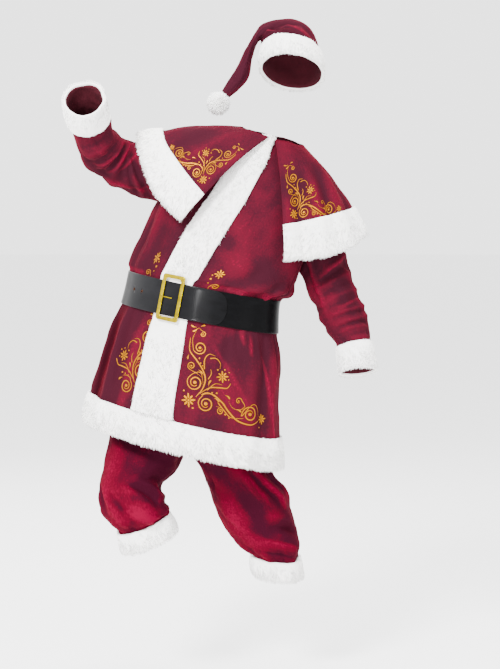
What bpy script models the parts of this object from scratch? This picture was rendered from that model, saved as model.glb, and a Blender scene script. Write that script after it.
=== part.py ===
"""Santa suit in worn form: coat, shoulder cape, belt, trousers and hat, hollow and with no wearer.

The cloth is lofted through rings.  Each ring is a row of a table: the two points where its outline
shows from the front, and its depths towards the front and the back.  What lies on a panel (belt, plush
bands) is made from that panel's own facets, moved out.  Metres, +Z up, the front faces -Y, and the
origin is at the base of the neck.
"""
import math
from collections import namedtuple

import bmesh
import bpy
import numpy as np
from mathutils import Matrix, Vector
from mathutils.bvhtree import BVHTree

# ---------------------------------------------------------------- driving sizes
WALL = 0.0025            # velvet with its seam allowance
SEAM = 0.0006            # between the middles of two panels' edges
TOUCH = 0.0003           # between a piece and the panel that it lies on
PLUSH = 0.012            # reach of the plush pile
PLUSH_EDGE = 0.006       # the same at a band's edge
TURN_IN = 0.12           # the cloth ends this part of a row before its plush band does
PLACKET_LIFT = 0.0008    # gap under the centre front band, whose edges cross the coat's facets
PRESSED_PLUSH = 0.003    # plush band under the belt
STRAP = 0.0025           # belt leatherette
STRAP_LIFT = 0.0045      # middle of the strap above the middle of the coat's cloth
STRAP_OVER_BAND = 0.003  # and what the pressed plush adds
PLACKET_HALF = 0.036     # half the centre front band, in turns round the coat
CAPE_CLEAR = 0.0085      # middle of the cape's cloth above the middle of the coat's and sleeves'
CLEAR_REACH, CLEAR_ROUNDS = 0.05, 3
CAPE_BEND = 0.42         # the shoulder's place down each of the cape's ribs
CAPE_BAND_PART = 0.76    # the plush band starts this far down a rib
CAPE_END = 0.97          # and the velvet under it ends here
CAPE_STATIONS = (0, 0.15, 0.30, 0.45, 0.60, CAPE_BAND_PART, 0.87, CAPE_END, 1.0)
CAPE_COLUMNS = 25
PRESSED_ABOVE, PRESSED_FADE, PRESSED_BELOW = 0.4, 1.6, 0.15   # where the belt stops pressing, in rows
HOLE_RADIUS, HOLE_TURNS, HOLE_SIDES = 0.003, (-0.075, -0.105), 10
# The belt ends on top of its other end: at its tip, and where it starts to rise and is up.
TONGUE_TIP, TONGUE_LOW, TONGUE_DOWN = 0.112, -0.060, -0.150
TONGUE_ROUND = 0.028     # length of its rounded end, in turns
OVER_BAND_HALF = 0.055   # half the turns over which the strap rises over the centre band
POMPOM_RADIUS = 0.031
BUCKLE_WIDTH, BUCKLE_HEIGHT, BUCKLE_BAR, BUCKLE_THICK = 0.066, 0.122, 0.010, 0.0036
BUCKLE_CORNER, BUCKLE_RISE = 0.009, 0.0006
PRONG_LENGTH, PRONG_RADIUS, PRONG_RISE, PRONG_SIDES = 0.026, 0.0016, 0.0004, 8
CREASE_ANGLE = math.radians(50)   # edges sharper than this are shaded sharp
COAT_COLUMNS, LIMB_COLUMNS, HAT_COLUMNS = 36, 12, 16

# ---------------------------------------------------------------- tables
# a and b are the outline's points on the two sides of a ring; y is the ring's middle; front and back
# are its depths; pitch leans the ring's axis towards the front; yaw turns the garment's centre front
# towards a.
Section = namedtuple("Section", "name ax az bx bz y front back pitch yaw")
COAT = [
    Section("neck", -0.077, 0.020, 0.073, -0.020, 0.010, 0.066, 0.068, 0, 6),
    Section("collar", -0.140, 0.017, 0.104, -0.057, 0.010, 0.080, 0.090, 0, 8),
    Section("shoulder", -0.196, 0.004, 0.128, -0.112, 0.008, 0.098, 0.105, 0, 10),
    Section("yoke", -0.232, -0.034, 0.126, -0.176, 0.005, 0.115, 0.118, 0, 14),
    Section("chest", -0.266, -0.098, 0.106, -0.254, 0.003, 0.132, 0.125, 0, 18),
    Section("armpit", -0.309, -0.172, 0.077, -0.343, 0.000, 0.150, 0.132, 0, 22),
    Section("midriff", -0.349, -0.262, 0.060, -0.390, 0.000, 0.163, 0.138, 0, 25),
    Section("blouse", -0.381, -0.330, 0.048, -0.416, 0.000, 0.165, 0.142, 0, 27),
    Section("belt_top", -0.381, -0.357, 0.019, -0.432, 0.000, 0.161, 0.138, 0, 27),
    Section("belt_base", -0.403, -0.445, 0.013, -0.521, 0.000, 0.165, 0.142, 0, 27),
    Section("skirt", -0.435, -0.515, 0.020, -0.598, 0.000, 0.176, 0.155, 0, 26),
    Section("low_skirt", -0.470, -0.630, 0.014, -0.720, 0.000, 0.188, 0.172, 0, 25),
    Section("band_top", -0.490, -0.690, 0.016, -0.800, 0.000, 0.194, 0.181, 0, 25),
    Section("hem", -0.508, -0.766, 0.022, -0.882, 0.000, 0.200, 0.190, 0, 25),
]
RIGHT_SLEEVE = [
    Section("inside", -0.150, -0.020, -0.185, -0.140, 0.005, 0.052, 0.055, 0, 0),
    Section("cap", -0.222, -0.010, -0.262, -0.164, 0.003, 0.072, 0.074, 0, 0),
    Section("upper_arm", -0.295, -0.014, -0.320, -0.166, 0.000, 0.075, 0.076, 0, 0),
    Section("arm", -0.345, -0.015, -0.362, -0.157, -0.005, 0.072, 0.073, 0, 0),
    Section("above_elbow", -0.370, -0.008, -0.405, -0.136, -0.015, 0.068, 0.070, 5, 0),
    Section("elbow", -0.388, -0.002, -0.455, -0.108, -0.038, 0.064, 0.067, 14, 0),
    Section("below_elbow", -0.404, 0.006, -0.492, -0.072, -0.072, 0.060, 0.063, 28, 0),
    Section("forearm", -0.418, 0.020, -0.512, -0.030, -0.110, 0.057, 0.058, 38, 0),
    Section("band_top", -0.431, 0.046, -0.526, 0.032, -0.155, 0.054, 0.055, 44, 0),
    Section("mouth", -0.439, 0.096, -0.532, 0.090, -0.205, 0.058, 0.058, 46, 0),
]
LEFT_SLEEVE = [
    Section("inside", 0.015, -0.165, 0.100, -0.125, 0.005, 0.052, 0.055, 0, 0),
    Section("cap", 0.035, -0.240, 0.150, -0.172, 0.003, 0.070, 0.072, 0, 0),
    Section("upper_arm", 0.056, -0.302, 0.178, -0.240, 0.000, 0.072, 0.074, 0, 0),
    Section("arm", 0.075, -0.350, 0.194, -0.302, 0.000, 0.070, 0.072, 2, 0),
    Section("above_elbow", 0.092, -0.403, 0.212, -0.362, -0.008, 0.067, 0.070, 6, 0),
    Section("elbow", 0.119, -0.466, 0.238, -0.435, -0.028, 0.062, 0.064, 12, 0),
    Section("forearm", 0.143, -0.515, 0.255, -0.487, -0.048, 0.056, 0.058, 16, 0),
    Section("band_top", 0.177, -0.558, 0.263, -0.544, -0.070, 0.046, 0.048, 18, 0),
    Section("mouth", 0.184, -0.624, 0.270, -0.616, -0.092, 0.047, 0.049, 18, 0),
]
PELVIS = [
    Section("waist", -0.372, -0.442, 0.000, -0.500, 0.000, 0.118, 0.112, 0, 20),
    Section("hip", -0.394, -0.545, -0.016, -0.598, 0.000, 0.125, 0.124, 0, 18),
    Section("seat", -0.418, -0.665, -0.026, -0.722, 0.000, 0.128, 0.132, 0, 12),
    Section("crotch", -0.434, -0.775, -0.024, -0.824, 0.000, 0.125, 0.128, 0, 6),
]
RIGHT_LEG = [
    Section("thigh", -0.452, -0.872, -0.250, -0.885, -0.022, 0.104, 0.104, 8, 0),
    Section("above_knee", -0.463, -0.940, -0.290, -0.930, -0.055, 0.092, 0.094, 14, 0),
    Section("knee", -0.458, -0.985, -0.286, -0.962, -0.078, 0.086, 0.088, 4, 0),
    Section("blouse", -0.441, -1.022, -0.273, -0.986, -0.076, 0.082, 0.084, -6, 0),
    Section("band_top", -0.411, -1.052, -0.283, -0.998, -0.066, 0.064, 0.068, -10, 0),
    Section("mouth", -0.398, -1.106, -0.262, -1.050, -0.054, 0.068, 0.072, -10, 0),
]
LEFT_LEG = [
    Section("thigh", -0.186, -0.905, 0.002, -0.905, 0.006, 0.100, 0.098, -6, 0),
    Section("above_knee", -0.160, -0.970, 0.040, -0.962, 0.020, 0.098, 0.100, -8, 0),
    Section("knee", -0.136, -1.030, 0.056, -1.022, 0.032, 0.092, 0.094, -10, 0),
    Section("blouse", -0.092, -1.100, 0.076, -1.102, 0.048, 0.082, 0.086, -10, 0),
    Section("band_top", -0.052, -1.132, 0.072, -1.150, 0.058, 0.062, 0.064, -8, 0),
    Section("mouth", -0.046, -1.186, 0.080, -1.204, 0.066, 0.064, 0.066, -8, 0),
]
HAT = [
    Section("brim", 0.130, 0.160, -0.024, 0.193, 0.010, 0.096, 0.098, -24, 0),
    Section("band_top", 0.128, 0.214, -0.024, 0.246, 0.034, 0.094, 0.096, -24, 0),
    Section("crown", 0.113, 0.268, -0.030, 0.266, 0.046, 0.078, 0.080, -16, 0),
    Section("fold", 0.092, 0.303, -0.030, 0.268, 0.050, 0.058, 0.060, -8, 0),
    Section("top", 0.042, 0.321, -0.022, 0.262, 0.050, 0.044, 0.046, 0, 0),
    Section("corner", -0.024, 0.307, -0.033, 0.264, 0.052, 0.034, 0.036, 0, 0),
    Section("side", -0.056, 0.266, -0.047, 0.246, 0.052, 0.032, 0.033, 0, 0),
    Section("tail", -0.079, 0.222, -0.056, 0.205, 0.048, 0.028, 0.028, 0, 0),
    Section("low_tail", -0.102, 0.178, -0.068, 0.156, 0.036, 0.022, 0.022, 0, 0),
    Section("tail_end", -0.134, 0.126, -0.116, 0.110, 0.022, 0.013, 0.013, 0, 0),
]
# One rib of the cape from its neck over the shoulder to its lower edge.
Rib = namedtuple("Rib", "name nx ny nz sx sy sz hx hy hz")
CAPE = [
    Rib("left_corner", 0.008, -0.080, -0.008, 0.020, -0.140, -0.120, 0.030, -0.172, -0.318),
    Rib("left_front", 0.044, -0.072, -0.016, 0.082, -0.118, -0.105, 0.112, -0.160, -0.316),
    Rib("left_arm_front", 0.070, -0.040, -0.022, 0.136, -0.078, -0.098, 0.196, -0.118, -0.292),
    Rib("left_arm_side", 0.082, 0.005, -0.022, 0.158, 0.002, -0.104, 0.247, -0.010, -0.256),
    Rib("left_arm_back", 0.074, 0.046, -0.014, 0.140, 0.080, -0.095, 0.210, 0.105, -0.290),
    Rib("left_back", 0.048, 0.078, -0.002, 0.084, 0.128, -0.078, 0.105, 0.160, -0.320),
    Rib("centre_back", 0.000, 0.092, 0.010, -0.014, 0.142, -0.050, -0.070, 0.168, -0.300),
    Rib("right_back", -0.048, 0.078, 0.022, -0.120, 0.128, -0.020, -0.230, 0.160, -0.205),
    Rib("right_arm_back", -0.074, 0.046, 0.028, -0.186, 0.082, 0.010, -0.325, 0.108, -0.085),
    Rib("right_arm_top", -0.084, 0.006, 0.030, -0.200, 0.006, 0.032, -0.352, 0.004, 0.006),
    Rib("right_arm_front", -0.076, -0.038, 0.024, -0.188, -0.062, 0.016, -0.344, -0.086, -0.062),
    Rib("right_front", -0.050, -0.070, 0.014, -0.138, -0.112, -0.028, -0.298, -0.132, -0.158),
    Rib("right_corner", -0.010, -0.080, 0.000, -0.100, -0.142, -0.072, -0.236, -0.168, -0.218),
]
# Folds as soft ridges (+) or troughs (-): from turn u0 at place v0 to turn u1 at v1 of the form's rows.
Fold = namedtuple("Fold", "u0 v0 u1 v1 width height")
COAT_FOLDS = [
    Fold(0.885, 9.0, 0.880, 13.5, 0.018, 0.012),
    Fold(0.835, 9.0, 0.825, 13.5, 0.022, -0.010),
    Fold(0.125, 8.9, 0.105, 10.6, 0.012, -0.006),
    Fold(0.170, 8.9, 0.165, 13.5, 0.020, 0.009),
    Fold(0.310, 9.2, 0.315, 13.0, 0.024, 0.006),
    Fold(0.400, 9.0, 0.405, 13.5, 0.024, 0.010),
    Fold(0.520, 9.2, 0.515, 13.5, 0.026, -0.009),
    Fold(0.640, 9.0, 0.645, 13.5, 0.024, 0.010),
    Fold(0.900, 5.5, 0.925, 8.2, 0.016, -0.006),
    Fold(0.180, 6.0, 0.120, 8.2, 0.020, 0.006),
]
SLEEVE_FOLDS = [
    Fold(0.02, 1.5, 0.25, 4.5, 0.045, -0.008),
    Fold(0.10, 3.5, 0.20, 7.5, 0.045, -0.007),
    Fold(0.55, 2.5, 0.75, 6.0, 0.050, -0.008),
]
LEG_FOLDS = [
    Fold(0.05, 3.5, 0.20, 7.2, 0.045, -0.009),
    Fold(0.85, 4.5, 0.95, 8.0, 0.045, 0.007),
    Fold(0.45, 4.0, 0.55, 8.0, 0.050, -0.008),
]


# ---------------------------------------------------------------- forms
def row_at(rows, place):
    """Values of a table at a fractional row, on a smooth curve through its rows."""
    values = np.array([row[1:] for row in rows], float)
    low = min(int(place), len(rows) - 2)
    part = place - low
    before, start, end, after = (values[min(max(low + k, 0), len(rows) - 1)] for k in (-1, 0, 1, 2))
    leave, arrive = (end - before) / 2, (after - start) / 2
    return (start * (1 + 2 * part) * (1 - part) ** 2 + leave * part * (1 - part) ** 2
            + end * part ** 2 * (3 - 2 * part) + arrive * part ** 2 * (part - 1))


def level(rows, name):
    """Number of the named row."""
    return [row.name for row in rows].index(name)


def ring(values, turns):
    """Points of one ring of a garment, at the given turns from its centre front."""
    ax, az, bx, bz, y, front, back, pitch, yaw = values
    side_point, other_point = np.array([ax, y, az]), np.array([bx, y, bz])
    half_width = np.linalg.norm(other_point - side_point) / 2
    across = (other_point - side_point) / (2 * half_width)
    forward = np.array([0.0, -1.0, 0.0])
    along = np.cross(across, forward)
    lean, turn = math.radians(pitch), math.radians(yaw)
    forward = forward * math.cos(lean) - along * math.sin(lean)
    depth = (front + back) / 2
    half_width = math.sqrt(half_width ** 2 - (depth * math.sin(turn)) ** 2) / math.cos(turn)
    side = across * math.cos(turn) + forward * math.sin(turn)
    ahead = forward * math.cos(turn) - across * math.sin(turn)
    angle = 2 * math.pi * np.asarray(turns)[:, None]
    reach = np.where(np.cos(angle) > 0, front, back)
    return ((side_point + other_point) / 2 + half_width * np.sin(angle) * side
            + reach * np.cos(angle) * ahead)


class Form:
    """A faceted form: rows of points down the garment and columns round it."""

    def __init__(self, points, stations, closed):
        self.points, self.stations, self.closed = np.array(points), np.array(stations, float), closed
        self.outward = self.directions()

    def directions(self):
        """Unit vectors out of the cloth at every point."""
        down = np.gradient(self.points, axis=0)
        if self.closed:
            around = np.roll(self.points, -1, axis=1) - np.roll(self.points, 1, axis=1)
        else:
            around = np.gradient(self.points, axis=1)
        out = np.cross(down, around)
        return out / np.linalg.norm(out, axis=2, keepdims=True)

    def fold(self, folds):
        """Push soft ridges and troughs into the form."""
        columns = self.points.shape[1]
        for fold in folds:
            along = np.clip((self.stations - fold.v0) / (fold.v1 - fold.v0), 0, 1)[:, None]
            middle = fold.u0 + (fold.u1 - fold.u0) * along
            off = (np.arange(columns)[None, :] / columns - middle + 0.5) % 1 - 0.5
            rise = np.sin(math.pi * along) ** 0.7 * np.exp(-(off / fold.width) ** 2)
            self.points += self.outward * (fold.height * rise)[:, :, None]
        self.outward = self.directions()

    def column(self, turn):
        """Fractional column of a turn from the centre front."""
        return turn * self.points.shape[1]

    def place(self, station, column, out):
        """A point on the facets, moved out."""
        row = float(np.interp(station, self.stations, np.arange(len(self.stations))))
        low = min(int(row), len(self.stations) - 2)
        left = math.floor(column)
        corners = [(low, left), (low, left + 1), (low + 1, left), (low + 1, left + 1)]
        down, across = row - low, column - left
        shares = [(1 - down) * (1 - across), (1 - down) * across, down * (1 - across), down * across]
        last = self.points.shape[1]
        spots = [(r, c % last if self.closed else min(max(c, 0), last - 1)) for r, c in corners]
        point = sum(share * self.points[spot] for share, spot in zip(shares, spots))
        outward = sum(share * self.outward[spot] for share, spot in zip(shares, spots))
        return point + out * outward / np.linalg.norm(outward)

    def grid(self, stations, columns, out):
        """Points at given stations and columns; out is one height, or a function of both."""
        height = out if callable(out) else lambda station, column: out
        return np.array([[self.place(s, c, height(s, c)) for c in columns] for s in stations])

    def stations_between(self, first, last):
        """The ends and every row of the form between them."""
        inner = [s for s in self.stations if first + 0.02 < s < last - 0.02]
        return [first] + inner + [last]


def between(first, last):
    """The ends and every whole number between them."""
    inner = [c for c in range(math.ceil(first), math.floor(last) + 1) if first + 0.2 < c < last - 0.2]
    return [first] + inner + [last]


def ring_form(sections, stations, columns, folds=()):
    """Form lofted through a table of sections."""
    turns = np.arange(columns) / columns
    form = Form([ring(row_at(sections, s), turns) for s in stations], stations, True)
    form.fold(folds)
    return form


def rows_of(sections, doubled, cloth_end=None):
    """Stations of a form: every section, one half-way after each doubled one, and the cloth's end."""
    last = len(sections) - 1
    end = last - TURN_IN if cloth_end is None else cloth_end
    return sorted(list(range(last + 1)) + [place + 0.5 for place in doubled] + [end])


def rib_form(ribs, stations, columns):
    """Form across the cape's ribs, each a curve through its neck, shoulder and lower edge."""
    places = np.linspace(0, len(ribs) - 1, columns)
    rows = [row_at(ribs, place).reshape(3, 3) for place in places]
    points = []
    for v in stations:
        bend = CAPE_BEND
        shares = ((1 - v / bend) * (1 - v), v * (1 - v) / (bend * (1 - bend)), v * (v - bend) / (1 - bend))
        points.append([sum(share * point for share, point in zip(shares, row)) for row in rows])
    return Form(points, stations, False)


def keep_clear(form, others, gap):
    """Move a form's points out until each is the gap away from the surfaces of other forms."""
    trees = []
    for other in others:
        rows, columns = other.points.shape[:2]
        points = [tuple(point) for point in other.points.reshape(-1, 3)]
        trees.append(BVHTree.FromPolygons(points, facets(rows, columns, True)))
    for spot in np.ndindex(form.points.shape[:2]):
        for tree in trees * CLEAR_ROUNDS:
            point = Vector(form.points[spot])
            near, normal, _, distance = tree.find_nearest(point)
            inside = (point - near).dot(normal) < 0 and distance < CLEAR_REACH
            if inside or distance < gap:
                form.points[spot] = near + normal * gap
    form.outward = form.directions()


# ---------------------------------------------------------------- meshes
def facet_pair(row, column, columns):
    """The two triangles of one cell of a grid, split the same way in every piece."""
    here, right = row * columns + column, row * columns + (column + 1) % columns
    below, across = here + columns, right + columns
    return [(here, below, across), (here, across, right)]


def facets(rows, columns, closed):
    """Triangles of a grid of points, facing out of the cloth."""
    last = columns if closed else columns - 1
    return [face for r in range(rows - 1) for c in range(last) for face in facet_pair(r, c, columns)]


def material(name, colour, roughness, metallic=0.0):
    """A Principled material."""
    made = bpy.data.materials.new(name)
    made.use_nodes = True
    shader = made.node_tree.nodes["Principled BSDF"]
    shader.inputs["Base Color"].default_value = (*colour, 1)
    shader.inputs["Roughness"].default_value = roughness
    shader.inputs["Metallic"].default_value = metallic
    return made


def add_object(name, points, faces, look, collection):
    """An object from points and faces, shaded smooth up to a crease."""
    mesh = bpy.data.meshes.new(name)
    mesh.from_pydata([tuple(map(float, point)) for point in points], [], faces)
    mesh.shade_smooth()
    mesh.set_sharp_from_angle(angle=CREASE_ANGLE)
    made = bpy.data.objects.new(name, mesh)
    collection.objects.link(made)
    if look:
        mesh.materials.append(look)
    return made


def sheet(name, grid, closed, look, collection, thickness=WALL):
    """A cloth wall whose middle runs through a grid of points."""
    rows, columns = grid.shape[:2]
    made = add_object(name, grid.reshape(-1, 3), facets(rows, columns, closed), look, collection)
    thicken(made, thickness)
    return made


def thicken(made, thickness=WALL):
    """Give an open surface its thickness, half on each side."""
    wall = made.modifiers.new("Wall", "SOLIDIFY")
    wall.thickness, wall.offset, wall.use_even_offset = thickness, 0.0, False


def slab(name, under, over, closed, look, collection):
    """A closed solid between two grids of the same size."""
    rows, columns = under.shape[:2]
    shift = rows * columns
    top = [tuple(i + shift for i in face) for face in facets(rows, columns, closed)]
    bottom = [tuple(reversed(face)) for face in facets(rows, columns, closed)]
    ends = columns if closed else columns - 1
    walls = []
    for c in range(ends):
        near, far = c, (c + 1) % columns
        walls.append((near, near + shift, far + shift, far))
        near, far = near + (rows - 1) * columns, far + (rows - 1) * columns
        walls.append((near, far, far + shift, near + shift))
    if not closed:
        for r in range(rows - 1):
            near, far = r * columns, (r + 1) * columns
            walls.append((near, far, far + shift, near + shift))
            near, far = near + columns - 1, far + columns - 1
            walls.append((near, near + shift, far + shift, far))
    points = np.concatenate([under.reshape(-1, 3), over.reshape(-1, 3)])
    return add_object(name, points, top + bottom + walls, look, collection)


def closed_tube(form, out):
    """Points and faces of a form filled out to a closed body, moved out."""
    grid = form.points + form.outward * out
    rows, columns = grid.shape[:2]
    faces = facets(rows, columns, True)
    faces.append(tuple(range(columns)))
    faces.append(tuple(reversed(range((rows - 1) * columns, rows * columns))))
    return grid.reshape(-1, 3), faces


def add_cutter(name, points, faces, collection):
    """A body that cuts others and isn't part of the suit."""
    made = add_object(name, points, faces, None, collection)
    made.hide_render, made.display_type = True, "WIRE"
    return made


def cut(made, cutter):
    """Take a cutter away from an object."""
    change = made.modifiers.new("Cut " + cutter.name, "BOOLEAN")
    change.operation, change.object = "DIFFERENCE", cutter


def band_profile(first, last, full, edge):
    """Height of a plush band: full in the middle and lower at its two edges."""
    def height(station):
        part = (station - first) / (last - first)
        return edge + (full - edge) * math.sin(math.pi * part) ** 0.5
    return height


def plush_ring(name, form, first, last, look, collection):
    """A plush band all round a tube, between two stations."""
    stations = form.stations_between(first, last)
    columns = range(form.points.shape[1])
    base = WALL / 2 + TOUCH
    profile = band_profile(first, last, PLUSH, PLUSH_EDGE)
    under = form.grid(stations, columns, base)
    over = form.grid(stations, columns, lambda station, column: base + profile(station))
    return slab(name, under, over, True, look, collection)


# ---------------------------------------------------------------- coat
def build_coat(form, looks, suit):
    """Back and two fronts, seamed at the sides, and the plush bands on them."""
    end = level(COAT, "hem") - TURN_IN
    stations = form.stations_between(0, end)
    half_seam = SEAM / 2 / 1.2 * COAT_COLUMNS
    seams = {"coat_front_left": (0.0, 0.25), "coat_back": (0.25, 0.75), "coat_front_right": (0.75, 1.0)}
    panels = []
    for name, (start, stop) in seams.items():
        columns = between(form.column(start) + half_seam, form.column(stop) - half_seam)
        panels.append(sheet(name, form.grid(stations, columns, 0), False, looks["velvet"], suit))
    plush_ring("coat_hem_band", form, level(COAT, "band_top"), level(COAT, "hem"), looks["plush"], suit)
    build_placket(form, looks, suit)
    return panels


def pressed(station):
    """How far the plush stands up at a station: 0 under the belt and 1 away from it."""
    top, base = level(COAT, "belt_top"), level(COAT, "belt_base")
    away = max((top - PRESSED_ABOVE - station) / PRESSED_FADE, station - base - PRESSED_BELOW, 0.0)
    part = min(away, 1.0)
    return part * part * (3 - 2 * part)


def build_placket(form, looks, suit):
    """The plush band down the centre front, pressed flat where the belt crosses it."""
    half = form.column(PLACKET_HALF)
    columns = [-half, -1, 0, 1, half]
    stations = form.stations_between(0.3, level(COAT, "band_top") - 0.02)
    base = WALL / 2 + PLACKET_LIFT

    def height(station, column):
        tall = PRESSED_PLUSH + (PLUSH - PRESSED_PLUSH) * pressed(station)
        return base + tall * (1 - 0.5 * abs(column / half) ** 4)

    under, over = form.grid(stations, columns, base), form.grid(stations, columns, height)
    slab("coat_placket", under, over, False, looks["plush"], suit)


# ---------------------------------------------------------------- belt
def strap_lift(turn):
    """Height of the strap's middle: it rises over the plush band and over its own other end."""
    wrapped = (turn + 0.5) % 1 - 0.5
    over_band = STRAP_OVER_BAND * math.exp(-(wrapped / OVER_BAND_HALF) ** 4)
    part = min(max((turn - TONGUE_DOWN) / (TONGUE_LOW - TONGUE_DOWN), 0.0), 1.0)
    return STRAP_LIFT + over_band + (STRAP + 1.4 * TOUCH) * part * part * (3 - 2 * part)


def build_belt(form, looks, suit, cutters):
    """One strap, once round and over itself, its rounded end on top, with two punched holes."""
    first, last = form.column(-1.0), form.column(TONGUE_TIP)
    straight = form.column(TONGUE_TIP - TONGUE_ROUND)
    columns = between(first, straight)
    columns += list(np.linspace(straight, last, 5)[1:])
    top, base = level(COAT, "belt_top"), level(COAT, "belt_base")
    middle = (top + base) / 2
    rows = 5
    grid = []
    for r in range(rows):
        line = []
        for column in columns:
            part = max((column - straight) / (last - straight), 0.0)
            half = (base - top) / 2 * math.sqrt(max(1 - (part * 0.97) ** 2, 0.0))
            station = middle + half * (2 * r / (rows - 1) - 1)
            line.append(form.place(station, column, strap_lift(column / COAT_COLUMNS)))
        grid.append(line)
    strap = sheet("belt_strap", np.array(grid), False, looks["leatherette"], suit, STRAP)
    for number, turn in enumerate(HOLE_TURNS, 1):
        place, frame = belt_frame(form, turn)
        hole = add_cutter(f"belt_hole_{number}", *prism(HOLE_SIDES, HOLE_RADIUS, 8 * STRAP), cutters)
        hole.matrix_world = Matrix.Translation(place) @ frame
        cut(strap, hole)


def prism(sides, radius, length):
    """Points and faces of an upright prism, through bmesh's cone."""
    shape = bmesh.new()
    bmesh.ops.create_cone(shape, cap_ends=True, segments=sides, radius1=radius, radius2=radius,
                          depth=length)
    points = [tuple(v.co) for v in shape.verts]
    faces = [tuple(v.index for v in face.verts) for face in shape.faces]
    shape.free()
    return points, faces


def belt_frame(form, turn):
    """Point on the strap's middle at a turn, and axes across it, up it and out of it."""
    top, base = level(COAT, "belt_top"), level(COAT, "belt_base")
    column, middle = form.column(turn), (top + base) / 2
    lift = strap_lift(turn)
    place = Vector(form.place(middle, column, lift))
    up = Vector(form.place(top, column, lift)) - Vector(form.place(base, column, lift))
    across = Vector(form.place(middle, column + 0.8, lift)) - Vector(form.place(middle, column - 0.8, lift))
    out = across.cross(up).normalized()
    up = out.cross(across.normalized())
    frame = Matrix((across.normalized(), up, out)).transposed().to_4x4()
    return place, frame


def rounded_rectangle(width, height, corner):
    """Points of a rounded rectangle round the origin."""
    points = []
    for quarter, (sx, sy) in enumerate(((1, 1), (-1, 1), (-1, -1), (1, -1))):
        for step in range(4):
            angle = math.pi / 2 * (quarter + step / 3)
            points.append((sx * (width / 2 - corner) + corner * math.cos(angle),
                           sy * (height / 2 - corner) + corner * math.sin(angle), 0.0))
    return points


def build_buckle(form, looks, suit):
    """Rectangular frame over the strap, and its short prong."""
    outline = bpy.data.curves.new("buckle_frame", "CURVE")
    outline.dimensions, outline.fill_mode = "2D", "BOTH"
    outline.extrude = BUCKLE_THICK / 2
    inner = (BUCKLE_WIDTH - 2 * BUCKLE_BAR, BUCKLE_HEIGHT - 2 * BUCKLE_BAR, BUCKLE_CORNER / 2)
    for loop in (rounded_rectangle(BUCKLE_WIDTH, BUCKLE_HEIGHT, BUCKLE_CORNER), rounded_rectangle(*inner)):
        spline = outline.splines.new("POLY")
        spline.points.add(len(loop) - 1)
        spline.use_cyclic_u = True
        for target, point in zip(spline.points, loop):
            target.co = (*point, 1)
    frame = bpy.data.objects.new("buckle_frame", outline)
    outline.materials.append(looks["gold"])
    suit.objects.link(frame)
    place, axes = belt_frame(form, 0.0)
    rise = STRAP / 2 + TOUCH + BUCKLE_THICK / 2
    frame.matrix_world = Matrix.Translation(place) @ axes @ Matrix.Translation((0, 0, rise + BUCKLE_RISE))
    prong = add_object("buckle_prong", *prism(PRONG_SIDES, PRONG_RADIUS, PRONG_LENGTH), looks["gold"], suit)
    reach = (PRONG_LENGTH - BUCKLE_WIDTH + 2 * BUCKLE_BAR) / 2 + TOUCH
    aside = Matrix.Translation((reach, 0.0, STRAP / 2 + TOUCH + PRONG_RADIUS + PRONG_RISE))
    prong.matrix_world = Matrix.Translation(place) @ axes @ aside @ Matrix.Rotation(math.pi / 2, 4, "Y")


# ---------------------------------------------------------------- sleeves, cape
def build_sleeve(side, form, rows, body, looks, suit):
    """A sleeve set on at the armhole, with its plush cuff."""
    stations = form.stations_between(0, level(rows, "mouth") - TURN_IN)
    columns = range(LIMB_COLUMNS)
    sleeve = sheet("sleeve_" + side, form.grid(stations, columns, 0), True, looks["velvet"], suit)
    cut(sleeve, body)
    plush_ring("sleeve_cuff_" + side, form, level(rows, "band_top"), level(rows, "mouth"),
               looks["plush"], suit)


def build_cape(form, looks, suit):
    """The velvet cape and the plush band along its lower edge."""
    columns = range(form.points.shape[1])
    stations = form.stations_between(0, CAPE_END)
    sheet("cape", form.grid(stations, columns, 0), False, looks["velvet"], suit)
    stations = form.stations_between(CAPE_BAND_PART, 1.0)
    base = WALL / 2 + TOUCH
    profile = band_profile(CAPE_BAND_PART, 1.0, PLUSH, PLUSH_EDGE)
    under = form.grid(stations, columns, base)
    over = form.grid(stations, columns, lambda station, column: base + profile(station))
    slab("cape_band", under, over, False, looks["plush"], suit)


# ---------------------------------------------------------------- trousers
def leg_rows(legs, side):
    """Rings of one trouser leg, from the waist down, as closed loops that start at the centre front.

    Above the crotch the loop is half of the pelvis and a straight line down the middle; below it the
    loop becomes the leg's own ring.  side is +1 for the wearer's left leg.
    """
    outer = LIMB_COLUMNS * 3 // 4
    inner = LIMB_COLUMNS - outer
    loops, stations = [], []
    for s in range(len(PELVIS)):
        half = ring(row_at(PELVIS, s), np.linspace(0, 0.5, outer + 1) * side)
        gap = WALL / 2 + SEAM / 2 if s == len(PELVIS) - 1 else SEAM / 2
        half[0, 0] += side * gap
        half[-1, 0] += side * gap
        middle = [half[-1] + (half[0] - half[-1]) * k / inner for k in range(1, inner)]
        loops.append(np.vstack([half, middle]))
        stations.append(float(s))
    turns = side * (0.25 - 0.375 + 0.75 * np.arange(outer + 1) / outer)
    closing = side * (0.625 + 0.25 * np.arange(1, inner) / inner)
    turns = np.concatenate([turns, closing])
    for place in rows_of(legs, (0, 2, 4)):
        loops.append(ring(row_at(legs, place), turns))
        stations.append(len(PELVIS) + place)
    return Form(loops if side > 0 else [loop[::-1] for loop in loops], stations, True)


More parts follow.
